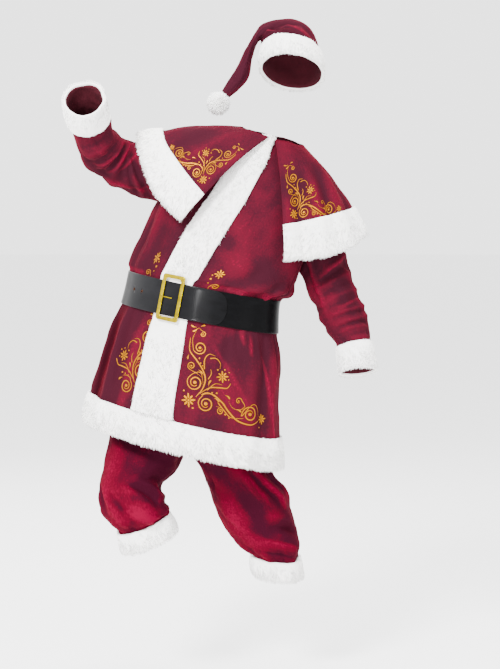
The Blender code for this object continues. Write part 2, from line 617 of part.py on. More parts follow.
def build_leg(name, form, side, looks, suit):
    """A trouser leg: half of the pelvis, open along the middle, and the leg's tube."""
    stations = form.stations_between(0, form.stations[-1] - TURN_IN)
    grid = form.grid(stations, range(LIMB_COLUMNS), 0)
    outer = LIMB_COLUMNS * 3 // 4
    open_rows = len(PELVIS) - 1
    faces = []
    for r, c in np.ndindex(len(stations) - 1, LIMB_COLUMNS):
        inside = c >= outer if side > 0 else c < LIMB_COLUMNS - outer - 1 or c == LIMB_COLUMNS - 1
        if r < open_rows and inside:
            continue
        faces += facet_pair(r, c, LIMB_COLUMNS)
    used = sorted({index for face in faces for index in face})
    number = {old: new for new, old in enumerate(used)}
    points = grid.reshape(-1, 3)[used]
    faces = [tuple(number[index] for index in face) for face in faces]
    leg = add_object("trouser_leg_" + name, points, faces, looks["velvet"], suit)
    thicken(leg)
    last = form.stations[-1]
    plush_ring("trouser_cuff_" + name, form, last - 1, last, looks["plush"], suit)


# ---------------------------------------------------------------- hat
def build_hat(form, looks, suit):
    """Velvet cone folded over to one side, its plush band and its pompom."""
    columns = range(HAT_COLUMNS)
    stations = form.stations_between(TURN_IN, len(HAT) - 1)
    sheet("hat_body", form.grid(stations, columns, 0), True, looks["velvet"], suit)
    plush_ring("hat_band", form, 0, level(HAT, "band_top"), looks["plush"], suit)
    end = HAT[-1]
    tip = Vector(((end.ax + end.bx) / 2, end.y, (end.az + end.bz) / 2))
    towards = (tip - Vector(((HAT[-2].ax + HAT[-2].bx) / 2, HAT[-2].y, (HAT[-2].az + HAT[-2].bz) / 2)))
    shape = bmesh.new()
    bmesh.ops.create_uvsphere(shape, u_segments=14, v_segments=8, radius=POMPOM_RADIUS)
    mesh = bpy.data.meshes.new("hat_pompom")
    shape.to_mesh(mesh)
    shape.free()
    mesh.shade_smooth()
    mesh.materials.append(looks["plush"])
    pompom = bpy.data.objects.new("hat_pompom", mesh)
    suit.objects.link(pompom)
    pompom.location = tip + towards.normalized() * (POMPOM_RADIUS + 4 * TOUCH)


# ---------------------------------------------------------------- the suit
def new_collection(name):
    """A collection linked to the scene."""
    made = bpy.data.collections.new(name)
    bpy.context.scene.collection.children.link(made)
    return made


def main():
    """Build every piece of the suit."""
    for old in list(bpy.data.objects):
        bpy.data.objects.remove(old, do_unlink=True)
    suit, cutters = new_collection("Santa suit"), new_collection("Cutters")
    looks = {
        "velvet": material("Burgundy velvet", (0.16, 0.008, 0.025), 0.75),
        "plush": material("White plush", (0.86, 0.85, 0.82), 0.9),
        "leatherette": material("Black leatherette", (0.02, 0.02, 0.022), 0.4),
        "gold": material("Gold buckle", (0.75, 0.55, 0.12), 0.25, 1.0),
    }
    coat = ring_form(COAT, rows_of(COAT, (5, 10, 12)), COAT_COLUMNS, COAT_FOLDS)
    right_arm = ring_form(RIGHT_SLEEVE, rows_of(RIGHT_SLEEVE, (7, 8)), LIMB_COLUMNS, SLEEVE_FOLDS)
    left_arm = ring_form(LEFT_SLEEVE, rows_of(LEFT_SLEEVE, (7,)), LIMB_COLUMNS, SLEEVE_FOLDS)
    cape = rib_form(CAPE, CAPE_STATIONS, CAPE_COLUMNS)
    keep_clear(cape, (coat, right_arm, left_arm), CAPE_CLEAR)

    panels = build_coat(coat, looks, suit)
    body = add_cutter("coat_filled", *closed_tube(coat, WALL / 2 + TOUCH), cutters)
    for name, arm in (("right", right_arm), ("left", left_arm)):
        hole = add_cutter("armhole_" + name, *closed_tube(arm, -WALL / 2), cutters)
        for panel in panels:
            cut(panel, hole)
    build_sleeve("right", right_arm, RIGHT_SLEEVE, body, looks, suit)
    build_sleeve("left", left_arm, LEFT_SLEEVE, body, looks, suit)
    build_cape(cape, looks, suit)
    build_belt(coat, looks, suit, cutters)
    build_buckle(coat, looks, suit)
    build_leg("right", leg_rows(RIGHT_LEG, -1), -1, looks, suit)
    build_leg("left", leg_rows(LEFT_LEG, 1), 1, looks, suit)
    build_hat(ring_form(HAT, rows_of(HAT, (0, 1, 3), TURN_IN), HAT_COLUMNS), looks, suit)


main()
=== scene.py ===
"""Looks of a santa suit in worn form: velvet coat, cape, trousers and hat, plush bands, belt and buckle.

Every cloth is a surface that is addressed by turns round it (u) and rows down it (v).  Its thin shell,
its creases, the plush bands and the printed scrolls on it are all made from that one surface.
Metres, +Z up, the front faces -Y, and the origin is at the base of the neck.
"""
import logging
import math
from collections.abc import Callable
from dataclasses import astuple, dataclass, field
from enum import Enum

import bpy
import numpy as np
from mathutils import Matrix, Vector
from mathutils.bvhtree import BVHTree


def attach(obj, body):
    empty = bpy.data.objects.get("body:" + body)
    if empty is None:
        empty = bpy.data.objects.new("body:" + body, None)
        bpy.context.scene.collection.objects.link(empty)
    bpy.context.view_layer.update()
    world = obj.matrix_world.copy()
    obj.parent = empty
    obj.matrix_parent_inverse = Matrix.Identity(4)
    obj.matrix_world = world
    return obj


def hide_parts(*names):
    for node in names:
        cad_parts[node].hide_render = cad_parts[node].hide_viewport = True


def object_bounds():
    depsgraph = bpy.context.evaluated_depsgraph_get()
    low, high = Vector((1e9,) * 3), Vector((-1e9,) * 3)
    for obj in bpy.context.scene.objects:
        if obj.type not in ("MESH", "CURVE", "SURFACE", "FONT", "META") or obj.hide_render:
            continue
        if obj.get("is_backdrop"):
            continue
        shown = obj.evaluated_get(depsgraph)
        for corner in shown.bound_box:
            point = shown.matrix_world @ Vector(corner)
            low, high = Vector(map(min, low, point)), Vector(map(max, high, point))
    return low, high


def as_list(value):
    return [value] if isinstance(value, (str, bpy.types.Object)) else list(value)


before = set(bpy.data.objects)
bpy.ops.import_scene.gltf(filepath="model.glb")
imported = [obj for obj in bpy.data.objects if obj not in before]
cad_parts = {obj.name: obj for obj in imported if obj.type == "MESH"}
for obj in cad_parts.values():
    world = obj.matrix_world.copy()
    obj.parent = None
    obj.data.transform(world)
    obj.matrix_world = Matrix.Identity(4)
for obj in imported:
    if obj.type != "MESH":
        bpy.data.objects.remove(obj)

CAD_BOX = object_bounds()
LOG = logging.getLogger("santa suit")
Array = np.ndarray

WALL = 0.0025            # room of the cloth in the frame
CLOTH = 0.0018           # thickness of the velvet that is shown
TOUCH = 0.0003           # between a piece and the cloth that it lies on
PLUSH = 0.012            # reach of the pile above the cloth
STRAP = 0.0025           # belt leatherette
STEP = 1e-3              # part of a turn or row over which slopes are taken
NARROW = 0.012           # widest stroke of painted light that is the edge of a sharp fold
PAINTED_STROKE_RISE = 0.0011        # height of such a stroke whose painted light is 1
SHADE_RISE = 0.01        # height of a crease whose painted highlight on the pile is 1
UNDER_BAND = 0.12        # rows by which the velvet ends short of its plush band
SPREAD = (0.7548776662, 0.5698402910)   # steps that scatter places evenly over a square
GOLDEN_TURN = 2.39996    # angle that scatters tufts evenly over a ball
ARMHOLE_EDGE = 0.02      # how deep in a sleeve an armhole's ragged edge points may lie
NEAR = 0.01              # round a sleeve's box, within which points are tested
TOO_DEEP = 0.08          # depth in a sleeve that only comes from the wrong side of it


# ---------------------------------------------------------------- tables of the forms
@dataclass(frozen=True)
class Section:
    """One ring: its outline's two points, its middle, its depths, and how it leans and turns."""

    name: str
    ax: float
    az: float
    bx: float
    bz: float
    y: float
    front: float
    back: float
    pitch: float
    yaw: float


COAT = (
    Section("neck", -0.077, 0.020, 0.073, -0.020, 0.010, 0.066, 0.068, 0, 6),
    Section("collar", -0.140, 0.017, 0.104, -0.057, 0.010, 0.080, 0.090, 0, 8),
    Section("shoulder", -0.196, 0.004, 0.128, -0.112, 0.008, 0.098, 0.105, 0, 10),
    Section("yoke", -0.232, -0.034, 0.126, -0.176, 0.005, 0.115, 0.118, 0, 14),
    Section("chest", -0.266, -0.098, 0.106, -0.254, 0.003, 0.132, 0.125, 0, 18),
    Section("armpit", -0.309, -0.172, 0.077, -0.343, 0.000, 0.150, 0.132, 0, 22),
    Section("midriff", -0.349, -0.262, 0.060, -0.390, 0.000, 0.163, 0.138, 0, 25),
    Section("blouse", -0.381, -0.330, 0.048, -0.416, 0.000, 0.165, 0.142, 0, 27),
    Section("belt_top", -0.381, -0.357, 0.019, -0.432, 0.000, 0.161, 0.138, 0, 27),
    Section("belt_base", -0.403, -0.445, 0.013, -0.521, 0.000, 0.165, 0.142, 0, 27),
    Section("skirt", -0.435, -0.515, 0.020, -0.598, 0.000, 0.176, 0.155, 0, 26),
    Section("low_skirt", -0.470, -0.630, 0.014, -0.720, 0.000, 0.188, 0.172, 0, 25),
    Section("band_top", -0.490, -0.690, 0.016, -0.800, 0.000, 0.194, 0.181, 0, 25),
    Section("hem", -0.508, -0.766, 0.022, -0.882, 0.000, 0.200, 0.190, 0, 25),
)
RIGHT_SLEEVE = (
    Section("inside", -0.150, -0.020, -0.185, -0.140, 0.005, 0.052, 0.055, 0, 0),
    Section("cap", -0.222, -0.010, -0.262, -0.164, 0.003, 0.072, 0.074, 0, 0),
    Section("upper_arm", -0.295, -0.014, -0.320, -0.166, 0.000, 0.075, 0.076, 0, 0),
    Section("arm", -0.345, -0.015, -0.362, -0.157, -0.005, 0.072, 0.073, 0, 0),
    Section("above_elbow", -0.370, -0.008, -0.405, -0.136, -0.015, 0.068, 0.070, 5, 0),
    Section("elbow", -0.388, -0.002, -0.455, -0.108, -0.038, 0.064, 0.067, 14, 0),
    Section("below_elbow", -0.404, 0.006, -0.492, -0.072, -0.072, 0.060, 0.063, 28, 0),
    Section("forearm", -0.418, 0.020, -0.512, -0.030, -0.110, 0.057, 0.058, 38, 0),
    Section("band_top", -0.431, 0.046, -0.526, 0.032, -0.155, 0.054, 0.055, 44, 0),
    Section("mouth", -0.439, 0.096, -0.532, 0.090, -0.205, 0.058, 0.058, 46, 0),
)
LEFT_SLEEVE = (
    Section("inside", 0.015, -0.165, 0.100, -0.125, 0.005, 0.052, 0.055, 0, 0),
    Section("cap", 0.035, -0.240, 0.150, -0.172, 0.003, 0.070, 0.072, 0, 0),
    Section("upper_arm", 0.056, -0.302, 0.178, -0.240, 0.000, 0.072, 0.074, 0, 0),
    Section("arm", 0.075, -0.350, 0.194, -0.302, 0.000, 0.070, 0.072, 2, 0),
    Section("above_elbow", 0.092, -0.403, 0.212, -0.362, -0.008, 0.067, 0.070, 6, 0),
    Section("elbow", 0.119, -0.466, 0.238, -0.435, -0.028, 0.062, 0.064, 12, 0),
    Section("forearm", 0.143, -0.515, 0.255, -0.487, -0.048, 0.056, 0.058, 16, 0),
    Section("band_top", 0.177, -0.558, 0.263, -0.544, -0.070, 0.046, 0.048, 18, 0),
    Section("mouth", 0.184, -0.624, 0.270, -0.616, -0.092, 0.047, 0.049, 18, 0),
)
PELVIS = (
    Section("waist", -0.372, -0.442, 0.000, -0.500, 0.000, 0.118, 0.112, 0, 20),
    Section("hip", -0.394, -0.545, -0.016, -0.598, 0.000, 0.125, 0.124, 0, 18),
    Section("seat", -0.418, -0.665, -0.026, -0.722, 0.000, 0.128, 0.132, 0, 12),
    Section("crotch", -0.434, -0.775, -0.024, -0.824, 0.000, 0.125, 0.128, 0, 6),
)
RIGHT_LEG = (
    Section("thigh", -0.452, -0.872, -0.250, -0.885, -0.022, 0.104, 0.104, 8, 0),
    Section("above_knee", -0.463, -0.940, -0.290, -0.930, -0.055, 0.092, 0.094, 14, 0),
    Section("knee", -0.458, -0.985, -0.286, -0.962, -0.078, 0.086, 0.088, 4, 0),
    Section("blouse", -0.441, -1.022, -0.273, -0.986, -0.076, 0.082, 0.084, -6, 0),
    Section("band_top", -0.411, -1.052, -0.283, -0.998, -0.066, 0.064, 0.068, -10, 0),
    Section("mouth", -0.398, -1.106, -0.262, -1.050, -0.054, 0.068, 0.072, -10, 0),
)
LEFT_LEG = (
    Section("thigh", -0.186, -0.905, 0.002, -0.905, 0.006, 0.100, 0.098, -6, 0),
    Section("above_knee", -0.160, -0.970, 0.040, -0.962, 0.020, 0.098, 0.100, -8, 0),
    Section("knee", -0.136, -1.030, 0.056, -1.022, 0.032, 0.092, 0.094, -10, 0),
    Section("blouse", -0.092, -1.100, 0.076, -1.102, 0.048, 0.082, 0.086, -10, 0),
    Section("band_top", -0.052, -1.132, 0.072, -1.150, 0.058, 0.062, 0.064, -8, 0),
    Section("mouth", -0.046, -1.186, 0.080, -1.204, 0.066, 0.064, 0.066, -8, 0),
)
HAT = (
    Section("brim", 0.130, 0.160, -0.024, 0.193, 0.010, 0.096, 0.098, -24, 0),
    Section("band_top", 0.128, 0.214, -0.024, 0.246, 0.034, 0.094, 0.096, -24, 0),
    Section("crown", 0.113, 0.268, -0.030, 0.266, 0.046, 0.078, 0.080, -16, 0),
    Section("fold", 0.092, 0.303, -0.030, 0.268, 0.050, 0.058, 0.060, -8, 0),
    Section("top", 0.042, 0.321, -0.022, 0.262, 0.050, 0.044, 0.046, 0, 0),
    Section("corner", -0.024, 0.307, -0.033, 0.264, 0.052, 0.034, 0.036, 0, 0),
    Section("side", -0.056, 0.266, -0.047, 0.246, 0.052, 0.032, 0.033, 0, 0),
    Section("tail", -0.079, 0.222, -0.056, 0.205, 0.048, 0.028, 0.028, 0, 0),
    Section("low_tail", -0.102, 0.178, -0.068, 0.156, 0.036, 0.022, 0.022, 0, 0),
    Section("tail_end", -0.134, 0.126, -0.116, 0.110, 0.022, 0.013, 0.013, 0, 0),
)
# The cape's ribs from the wearer's left front corner round the back: neck, shoulder and lower edge.
CAPE = (
    (0.008, -0.080, -0.008, 0.020, -0.140, -0.120, 0.030, -0.172, -0.318),
    (0.044, -0.072, -0.016, 0.082, -0.118, -0.105, 0.112, -0.160, -0.316),
    (0.070, -0.040, -0.022, 0.136, -0.078, -0.098, 0.196, -0.118, -0.292),
    (0.082, 0.005, -0.022, 0.158, 0.002, -0.104, 0.247, -0.010, -0.256),
    (0.074, 0.046, -0.014, 0.140, 0.080, -0.095, 0.210, 0.105, -0.290),
    (0.048, 0.078, -0.002, 0.084, 0.128, -0.078, 0.105, 0.160, -0.320),
    (0.000, 0.092, 0.010, -0.014, 0.142, -0.050, -0.070, 0.168, -0.300),
    (-0.048, 0.078, 0.022, -0.120, 0.128, -0.020, -0.230, 0.160, -0.205),
    (-0.074, 0.046, 0.028, -0.186, 0.082, 0.010, -0.325, 0.108, -0.085),
    (-0.084, 0.006, 0.030, -0.200, 0.006, 0.032, -0.352, 0.004, 0.006),
    (-0.076, -0.038, 0.024, -0.188, -0.062, 0.016, -0.344, -0.086, -0.062),
    (-0.050, -0.070, 0.014, -0.138, -0.112, -0.028, -0.298, -0.132, -0.158),
    (-0.010, -0.080, 0.000, -0.100, -0.142, -0.072, -0.236, -0.168, -0.218),
)
CAPE_STATIONS = (0, 0.15, 0.30, 0.45, 0.60, 0.76, 0.87, 0.97, 1.0)
CAPE_BEND = 0.42         # the shoulder's place down a rib
CAPE_BAND = 5            # row of the cape where its plush band starts
CAPE_END = 7             # and where the velvet under it ends
CAPE_COLUMNS = 25


def level(sections: tuple[Section, ...], name: str) -> int:
    """Number of the named row."""
    return [section.name for section in sections].index(name)


# ---------------------------------------------------------------- surfaces
@dataclass(frozen=True)
class Crease:
    """A soft ridge (+) or trough (-) from (u0, v0) to (u1, v1), with its width and height in metres."""

    u0: float
    v0: float
    u1: float
    v1: float
    width: float
    height: float
    bow: float = 0.0      # how far its middle swings sideways
    skew: float = 1.0     # its width on one side over that on the other

    def rise(self, u: Array, v: Array, cloth: "Cloth") -> Array:
        """Height that this crease adds.

        Args:
            u: Turns.
            v: Rows.
            cloth: The surface, for its lengths.

        Returns:
            Heights in metres, as many as there are places.
        """
        girth = cloth.girth(v)
        x = ((u - self.u0 + 0.5) % 1 - 0.5) * girth
        y = cloth.length(v) - cloth.length(np.array(self.v0))
        run = (((self.u1 - self.u0 + 0.5) % 1 - 0.5) * float(cloth.girth(np.array((self.v0 + self.v1) / 2))),
               float(cloth.length(np.array(self.v1)) - cloth.length(np.array(self.v0))))
        size = math.hypot(*run)
        along = np.clip((x * run[0] + y * run[1]) / size ** 2, 0, 1)
        off = (x * run[1] - y * run[0]) / size - self.bow * 4 * along * (1 - along)
        width = np.where(off > 0, self.width * self.skew, self.width)
        return self.height * np.sin(math.pi * along) ** 0.6 * np.exp(-(off / width) ** 2)


def creases(*rows: tuple[float, ...]) -> tuple[Crease, ...]:
    """Creases from rows of their numbers, in the order of a crease's fields."""
    return tuple(Crease(*row) for row in rows)


@dataclass(frozen=True)
class Unevenness:
    """Low waves in many directions, so that no stretch of cloth is quite smooth."""

    height: float
    size: float
    seed: int
    waves: int = 14

    def rise(self, u: Array, v: Array, cloth: "Cloth") -> Array:
        """Height of the waves.

        Args:
            u: Turns.
            v: Rows.
            cloth: The surface, for its lengths.

        Returns:
            Heights in metres.
        """
        draw = np.random.default_rng(self.seed)
        girth, y = float(cloth.girths.mean()), cloth.length(v)
        total = np.zeros(np.broadcast(u, v).shape)
        for _ in range(self.waves):
            angle, phase = draw.uniform(0, math.pi), draw.uniform(0, 2 * math.pi)
            long = self.size * draw.uniform(0.6, 1.7)
            around = round(girth / long * math.cos(angle))
            total = total + np.sin(2 * math.pi * (around * u + y / long * math.sin(angle)) + phase)
        return self.height * total / math.sqrt(self.waves)


def curve(four: list[Array], part: Array) -> Array:
    """Points on a smooth curve through four.

    Args:
        four: The points before, at the start, at the end and after.
        part: How far from the start to the end, from 0 to 1.

    Returns:
        The points.
    """
    before, start, end, after = four
    leave, arrive = (end - before) / 2, (after - start) / 2
    return (start * (1 + 2 * part) * (1 - part) ** 2 + leave * part * (1 - part) ** 2
            + end * part ** 2 * (3 - 2 * part) + arrive * part ** 2 * (part - 1))


def spline(rows: Array, place: Array) -> Array:
    """Rows of numbers at fractional places, on a smooth curve through them.

    Args:
        rows: One row of numbers for each whole place.
        place: Fractional places, of any shape.

    Returns:
        Numbers, with the places' shape and then the rows' own.
    """
    last = len(rows) - 1
    place = np.asarray(place, float)
    low = np.clip(np.floor(place).astype(int), 0, last - 1)
    part = (place - low)[(...,) + (None,) * (rows.ndim - 1)]
    return curve([rows[np.clip(low + k, 0, last)] for k in (-1, 0, 1, 2)], part)


def unit(vectors: Array) -> Array:
    """Vectors of length one."""
    return vectors / np.maximum(np.linalg.norm(vectors, axis=-1, keepdims=True), 1e-12)


class Cloth:
    """A curved surface with creases, addressed by turns round it and rows down it."""

    rows: float
    closed: bool
    reliefs: tuple[Crease | Unevenness, ...] = ()
    painted_light: tuple[Crease, ...] = ()      # painted sheen (+) and painted shade (-) on the pile

    def base(self, u: Array, v: Array) -> Array:
        """Points of the smooth surface."""
        raise NotImplementedError

    def measure(self) -> None:
        """Take the surface's girths and lengths, row by row."""
        self.levels = np.linspace(0, self.rows, int(self.rows) * 6 + 1)
        turns = np.linspace(0, 1, 97)
        points = self.base(turns[None, :], self.levels[:, None])
        around = np.linalg.norm(np.diff(points, axis=1), axis=2)
        self.girths = around.sum(axis=1)
        steps = np.linalg.norm(np.diff(points, axis=0), axis=2).mean(axis=1)
        self.lengths = np.concatenate([[0.0], np.cumsum(steps)])
        self.arcs = np.concatenate([np.zeros((len(self.levels), 1)), np.cumsum(around, axis=1)], axis=1)
        self.turns = turns

    def girth(self, v: Array) -> Array:
        """Length once round at each row."""
        return np.interp(v, self.levels, self.girths)

    def length(self, v: Array) -> Array:
        """Length from the first row down to each row."""
        return np.interp(v, self.levels, self.lengths)

    def row_of(self, length: Array) -> Array:
        """Row at each length from the first row."""
        return np.interp(length, self.lengths, self.levels)

    def outward(self, u: Array, v: Array) -> Array:
        """Directions out of the smooth surface."""
        down = self.base(u, v + STEP) - self.base(u, v - STEP)
        around = self.base(u + STEP, v) - self.base(u - STEP, v)
        return unit(np.cross(down, around))

    def relief(self, u: Array, v: Array) -> Array:
        """Height of all creases, and of the narrow strokes of painted light, which are the edges of sharp
        folds.
        """
        total = np.zeros(np.broadcast(u, v).shape)
        for one in self.reliefs:
            total = total + one.rise(u, v, self)
        for one in self.painted_light:
            if one.width <= NARROW:
                total = total + one.rise(u, v, self) * PAINTED_STROKE_RISE
        return total

    def shade(self, u: Array, v: Array) -> Array:
        """Painted light on the pile: painted highlight on crease ridges, painted shade in troughs, and its
        strokes of painted sheen and shade.
        """
        return self.relief(u, v) / SHADE_RISE + sum(one.rise(u, v, self) for one in self.painted_light)

    def at(self, u: Array, v: Array, out: Array | float = 0.0) -> Array:
        """Points of the creased surface, moved out.

        Args:
            u: Turns.
            v: Rows.
            out: Distance out of the middle of the cloth.

        Returns:
            Points, with the places' shape and a last axis of three.
        """
        u, v = np.broadcast_arrays(np.asarray(u, float), np.asarray(v, float))
        height = self.relief(u, v) + out
        return self.base(u, v) + self.outward(u, v) * height[..., None]


class Tube(Cloth):
    """Cloth lofted through a table of rings."""

    closed = True

    def __init__(self, sections: tuple[Section, ...], reliefs: tuple[Crease | Unevenness, ...] = ()) -> None:
        """Keep the table and measure the form."""
        self.table = np.array([astuple(section)[1:] for section in sections])
        self.rows = float(len(sections) - 1)
        self.measure()
        self.reliefs = reliefs

    def base(self, u: Array, v: Array) -> Array:
        """Points of the rings at rows v and turns u from the centre front."""
        u, v = np.broadcast_arrays(np.asarray(u, float), np.asarray(v, float))
        values = spline(self.table, v)
        y = values[..., 4]
        a_point = np.stack([values[..., 0], y, values[..., 1]], -1)
        b_point = np.stack([values[..., 2], y, values[..., 3]], -1)
        front, back, pitch, yaw = (values[..., k][..., None] for k in (5, 6, 7, 8))
        half = np.linalg.norm(b_point - a_point, axis=-1, keepdims=True) / 2
        across = (b_point - a_point) / (2 * half)
        forward = np.broadcast_to(np.array([0.0, -1.0, 0.0]), across.shape)
        along = np.cross(across, forward)
        lean, turn = np.radians(pitch), np.radians(yaw)
        forward = forward * np.cos(lean) - along * np.sin(lean)
        depth = (front + back) / 2
        half = np.sqrt(half ** 2 - (depth * np.sin(turn)) ** 2) / np.cos(turn)
        side = across * np.cos(turn) + forward * np.sin(turn)
        ahead = forward * np.cos(turn) - across * np.sin(turn)
        angle = 2 * math.pi * u[..., None]
        reach = np.where(np.cos(angle) > 0, front, back)
        return (a_point + b_point) / 2 + half * np.sin(angle) * side + reach * np.cos(angle) * ahead


class Lattice(Cloth):
    """Cloth on a smooth surface through a grid of points."""

    def __init__(self, points: Array, closed: bool, reliefs: tuple[Crease | Unevenness, ...] = ()) -> None:
        """Keep the points and measure the form."""
        self.points, self.closed = np.asarray(points, float), closed
        self.rows = float(len(points) - 1)
        self.columns = self.points.shape[1]
        self.measure()
        self.reliefs = reliefs

    def base(self, u: Array, v: Array) -> Array:
        """Points at rows v and turns u; on an open cloth u goes from 0 to 1 across it."""
        u, v = np.broadcast_arrays(np.asarray(u, float), np.asarray(v, float))
        place = u * (self.columns if self.closed else self.columns - 1)
        low = np.floor(place).astype(int)
        if not self.closed:
            low = np.clip(low, 0, self.columns - 2)
        part = (place - low)[..., None]

        def column(shift: int) -> Array:
            """Points down one column."""
            spot = (low + shift) % self.columns if self.closed else np.clip(low + shift, 0, self.columns - 1)
            return self.down(spot, v)

        return curve([column(k) for k in (-1, 0, 1, 2)], part)

    def down(self, spot: Array, v: Array) -> Array:
        """Points at fractional rows of whole columns."""
        last = len(self.points) - 1
        low = np.clip(np.floor(v).astype(int), 0, last - 1)
        part = (v - low)[..., None]
        return curve([self.points[np.clip(low + k, 0, last), spot] for k in (-1, 0, 1, 2)], part)


class Solid:
    """A closed tube as a body that points can be inside."""

    def __init__(self, cloth: Cloth, columns: int, rows_each: int) -> None:
        """Make the body's facets from the cloth."""
        levels = np.linspace(0, cloth.rows, int(cloth.rows * rows_each) + 1)
        grid = cloth.at(np.arange(columns)[None, :] / columns, levels[:, None])
        faces = cells(len(levels), columns, True)[0].tolist()
        self.corners = grid.reshape(-1, 3).min(axis=0), grid.reshape(-1, 3).max(axis=0)
        self.tree = BVHTree.FromPolygons([tuple(p) for p in grid.reshape(-1, 3)], faces)

    def depth(self, points: Array) -> Array:
        """How deep each point is inside the body; outside it is negative."""
        found = []
        for point in points.reshape(-1, 3):
            place = Vector(point)
            near, normal, _, distance = self.tree.find_nearest(place)
            found.append(distance if (place - near).dot(normal) < 0 else -distance)
        return np.reshape(found, points.shape[:-1])

    def nearest(self, points: Array) -> Array:
        """Nearest point of the body's skin to each point."""
        found = [self.tree.find_nearest(Vector(point))[0] for point in points.reshape(-1, 3)]
        return np.array([tuple(p) for p in found]).reshape(points.shape)

    def push(self, points: Array, gap: float, reach: float = 0.05) -> Array:
        """Points moved out until they are the gap away from the body's skin.

        Args:
            points: Points to move.
            gap: Least distance from the skin.
            reach: Depth past which a point is left alone.

        Returns:
            The moved points.
        """
        moved = points.reshape(-1, 3).copy()
        for index, point in enumerate(moved):
            place = Vector(point)
            near, normal, _, distance = self.tree.find_nearest(place)
            inside = (place - near).dot(normal) < 0 and distance < reach
            if inside or distance < gap:
                moved[index] = near + normal * gap
        return moved.reshape(points.shape)


# ---------------------------------------------------------------- meshes
@dataclass
class Mesh:
    """Points, faces and texture places gathered for one piece."""

    points: list[Array] = field(default_factory=list)
    faces: list[Array] = field(default_factory=list)
    places: list[Array] = field(default_factory=list)
    looks: list[Array] = field(default_factory=list)
    shades: list[Array] = field(default_factory=list)
    count: int = 0

    def add(self, points: Array, faces: list[tuple[Array, Array, int]], shade: Array | float = 0.0) -> None:
        """Add points and the faces between them.

        Args:
            points: New points.
            faces: For each kind of face its corners' numbers, its corners' texture places, and the
                number of its material.
            shade: A number for each point that the material reads.
        """
        points = points.reshape(-1, 3)
        self.points.append(points)
        self.shades.append(np.broadcast_to(shade, (len(points),)).astype(float))
        for corners, places, look in faces:
            self.faces.append(corners + self.count)
            self.places.append(places)
            self.looks.append(np.full(len(corners), look))
        self.count += len(points)

    def build(self, name: str, materials: list[bpy.types.Material]) -> bpy.types.Object:
        """Make the piece's object.

        Args:
            name: Name of the piece.
            materials: Its materials, in the order of the faces' numbers.

        Returns:
            The object, at the origin, with its place in its mesh.
        """
        points = np.concatenate(self.points)
        mesh = bpy.data.meshes.new(name)
        used = np.zeros(len(points), bool)
        for group in self.faces:
            used[group.ravel()] = True
        renumber = np.cumsum(used) - 1
        faces = [face for group in self.faces for face in renumber[group].tolist()]
        mesh.from_pydata(points[used].tolist(), [], faces)
        layer = mesh.uv_layers.new(name="Cloth")
        layer.data.foreach_set("uv", np.concatenate([p.reshape(-1) for p in self.places]).astype(np.float32))
        shade = mesh.attributes.new("shade", "FLOAT", "POINT")
        shade.data.foreach_set("value", np.concatenate(self.shades)[used].astype(np.float32))
        for material in materials:
            mesh.materials.append(material)
        mesh.polygons.foreach_set("material_index", np.concatenate(self.looks).astype(np.int32))
        mesh.polygons.foreach_set("use_smooth", np.full(len(faces), True))
        mesh.update()
        made = bpy.data.objects.new(name, mesh)
        bpy.context.scene.collection.objects.link(made)
        return made


def cells(rows: int, columns: int, wrap: bool) -> tuple[Array, Array, Array]:
    """Cells of a grid of points.

    Args:
        rows: Rows of points.
        columns: Columns of points.
        wrap: Whether the last column joins the first.

    Returns:
        Each cell's four corners' numbers, and its row and its column.
    """
    across = columns if wrap else columns - 1
    row, column = (part.ravel() for part in np.mgrid[0:rows - 1, 0:across])
    right = (column + 1) % columns
    corners = np.stack([row * columns + column, (row + 1) * columns + column,
                        (row + 1) * columns + right, row * columns + right], -1)
    return corners, row, column


def shell(mesh: Mesh, outer: Array, inner: Array, wrap: bool, places: Array, keep: Array | None = None,
          looks: tuple[int, int] = (0, 1), shade: Array | float = 0.0) -> None:
    """Add a thin closed wall between two grids of points.

    Args:
        mesh: Where the wall goes.
        outer: Grid of the outer face.
        inner: Grid of the inner face, of the same size.
        wrap: Whether the last column joins the first.
        places: Texture place of each point; with wrap it has one column more.
        keep: Which cells there are; all when it is None.
        looks: Numbers of the outer and the inner face's material.
        shade: A number for each point of one face.
    """
    rows, columns = outer.shape[:2]
    corners, row, column = cells(rows, columns, wrap)
    across = columns if wrap else columns - 1
    kept = np.ones((rows - 1, across), bool) if keep is None else keep
    chosen = kept[row, column]
    spots = np.stack([places[row, column], places[row + 1, column], places[row + 1, column + 1],
                      places[row, column + 1]], 1)
    shift = rows * columns
    outside, inside = corners[chosen], corners[chosen][:, ::-1] + shift
    faces = [(outside, spots[chosen], looks[0]), (inside, spots[chosen][:, ::-1], looks[1])]
    around = np.pad(kept, ((1, 1), (0, 0)))
    above, below = ~around[:-2], ~around[2:]
    if wrap:
        before, after = ~np.roll(kept, 1, axis=1), ~np.roll(kept, -1, axis=1)
    else:
        beside = np.pad(kept, ((0, 0), (1, 1)))
        before, after = ~beside[:, :-2], ~beside[:, 2:]
    for missing, (first, second) in ((before, (0, 1)), (below, (1, 2)), (after, (2, 3)), (above, (3, 0))):
        rim = chosen & missing[row, column]
        a, b = corners[rim][:, first], corners[rim][:, second]
        pa, pb = spots[rim][:, first], spots[rim][:, second]
        faces.append((np.stack([b, a, a + shift, b + shift], -1), np.stack([pb, pa, pa, pb], 1), looks[0]))
    shades = np.broadcast_to(shade, (rows, columns)).ravel() if np.ndim(shade) else np.full(shift, shade)
    mesh.add(np.concatenate([outer.reshape(-1, 3), inner.reshape(-1, 3)]), faces, np.tile(shades, 2))


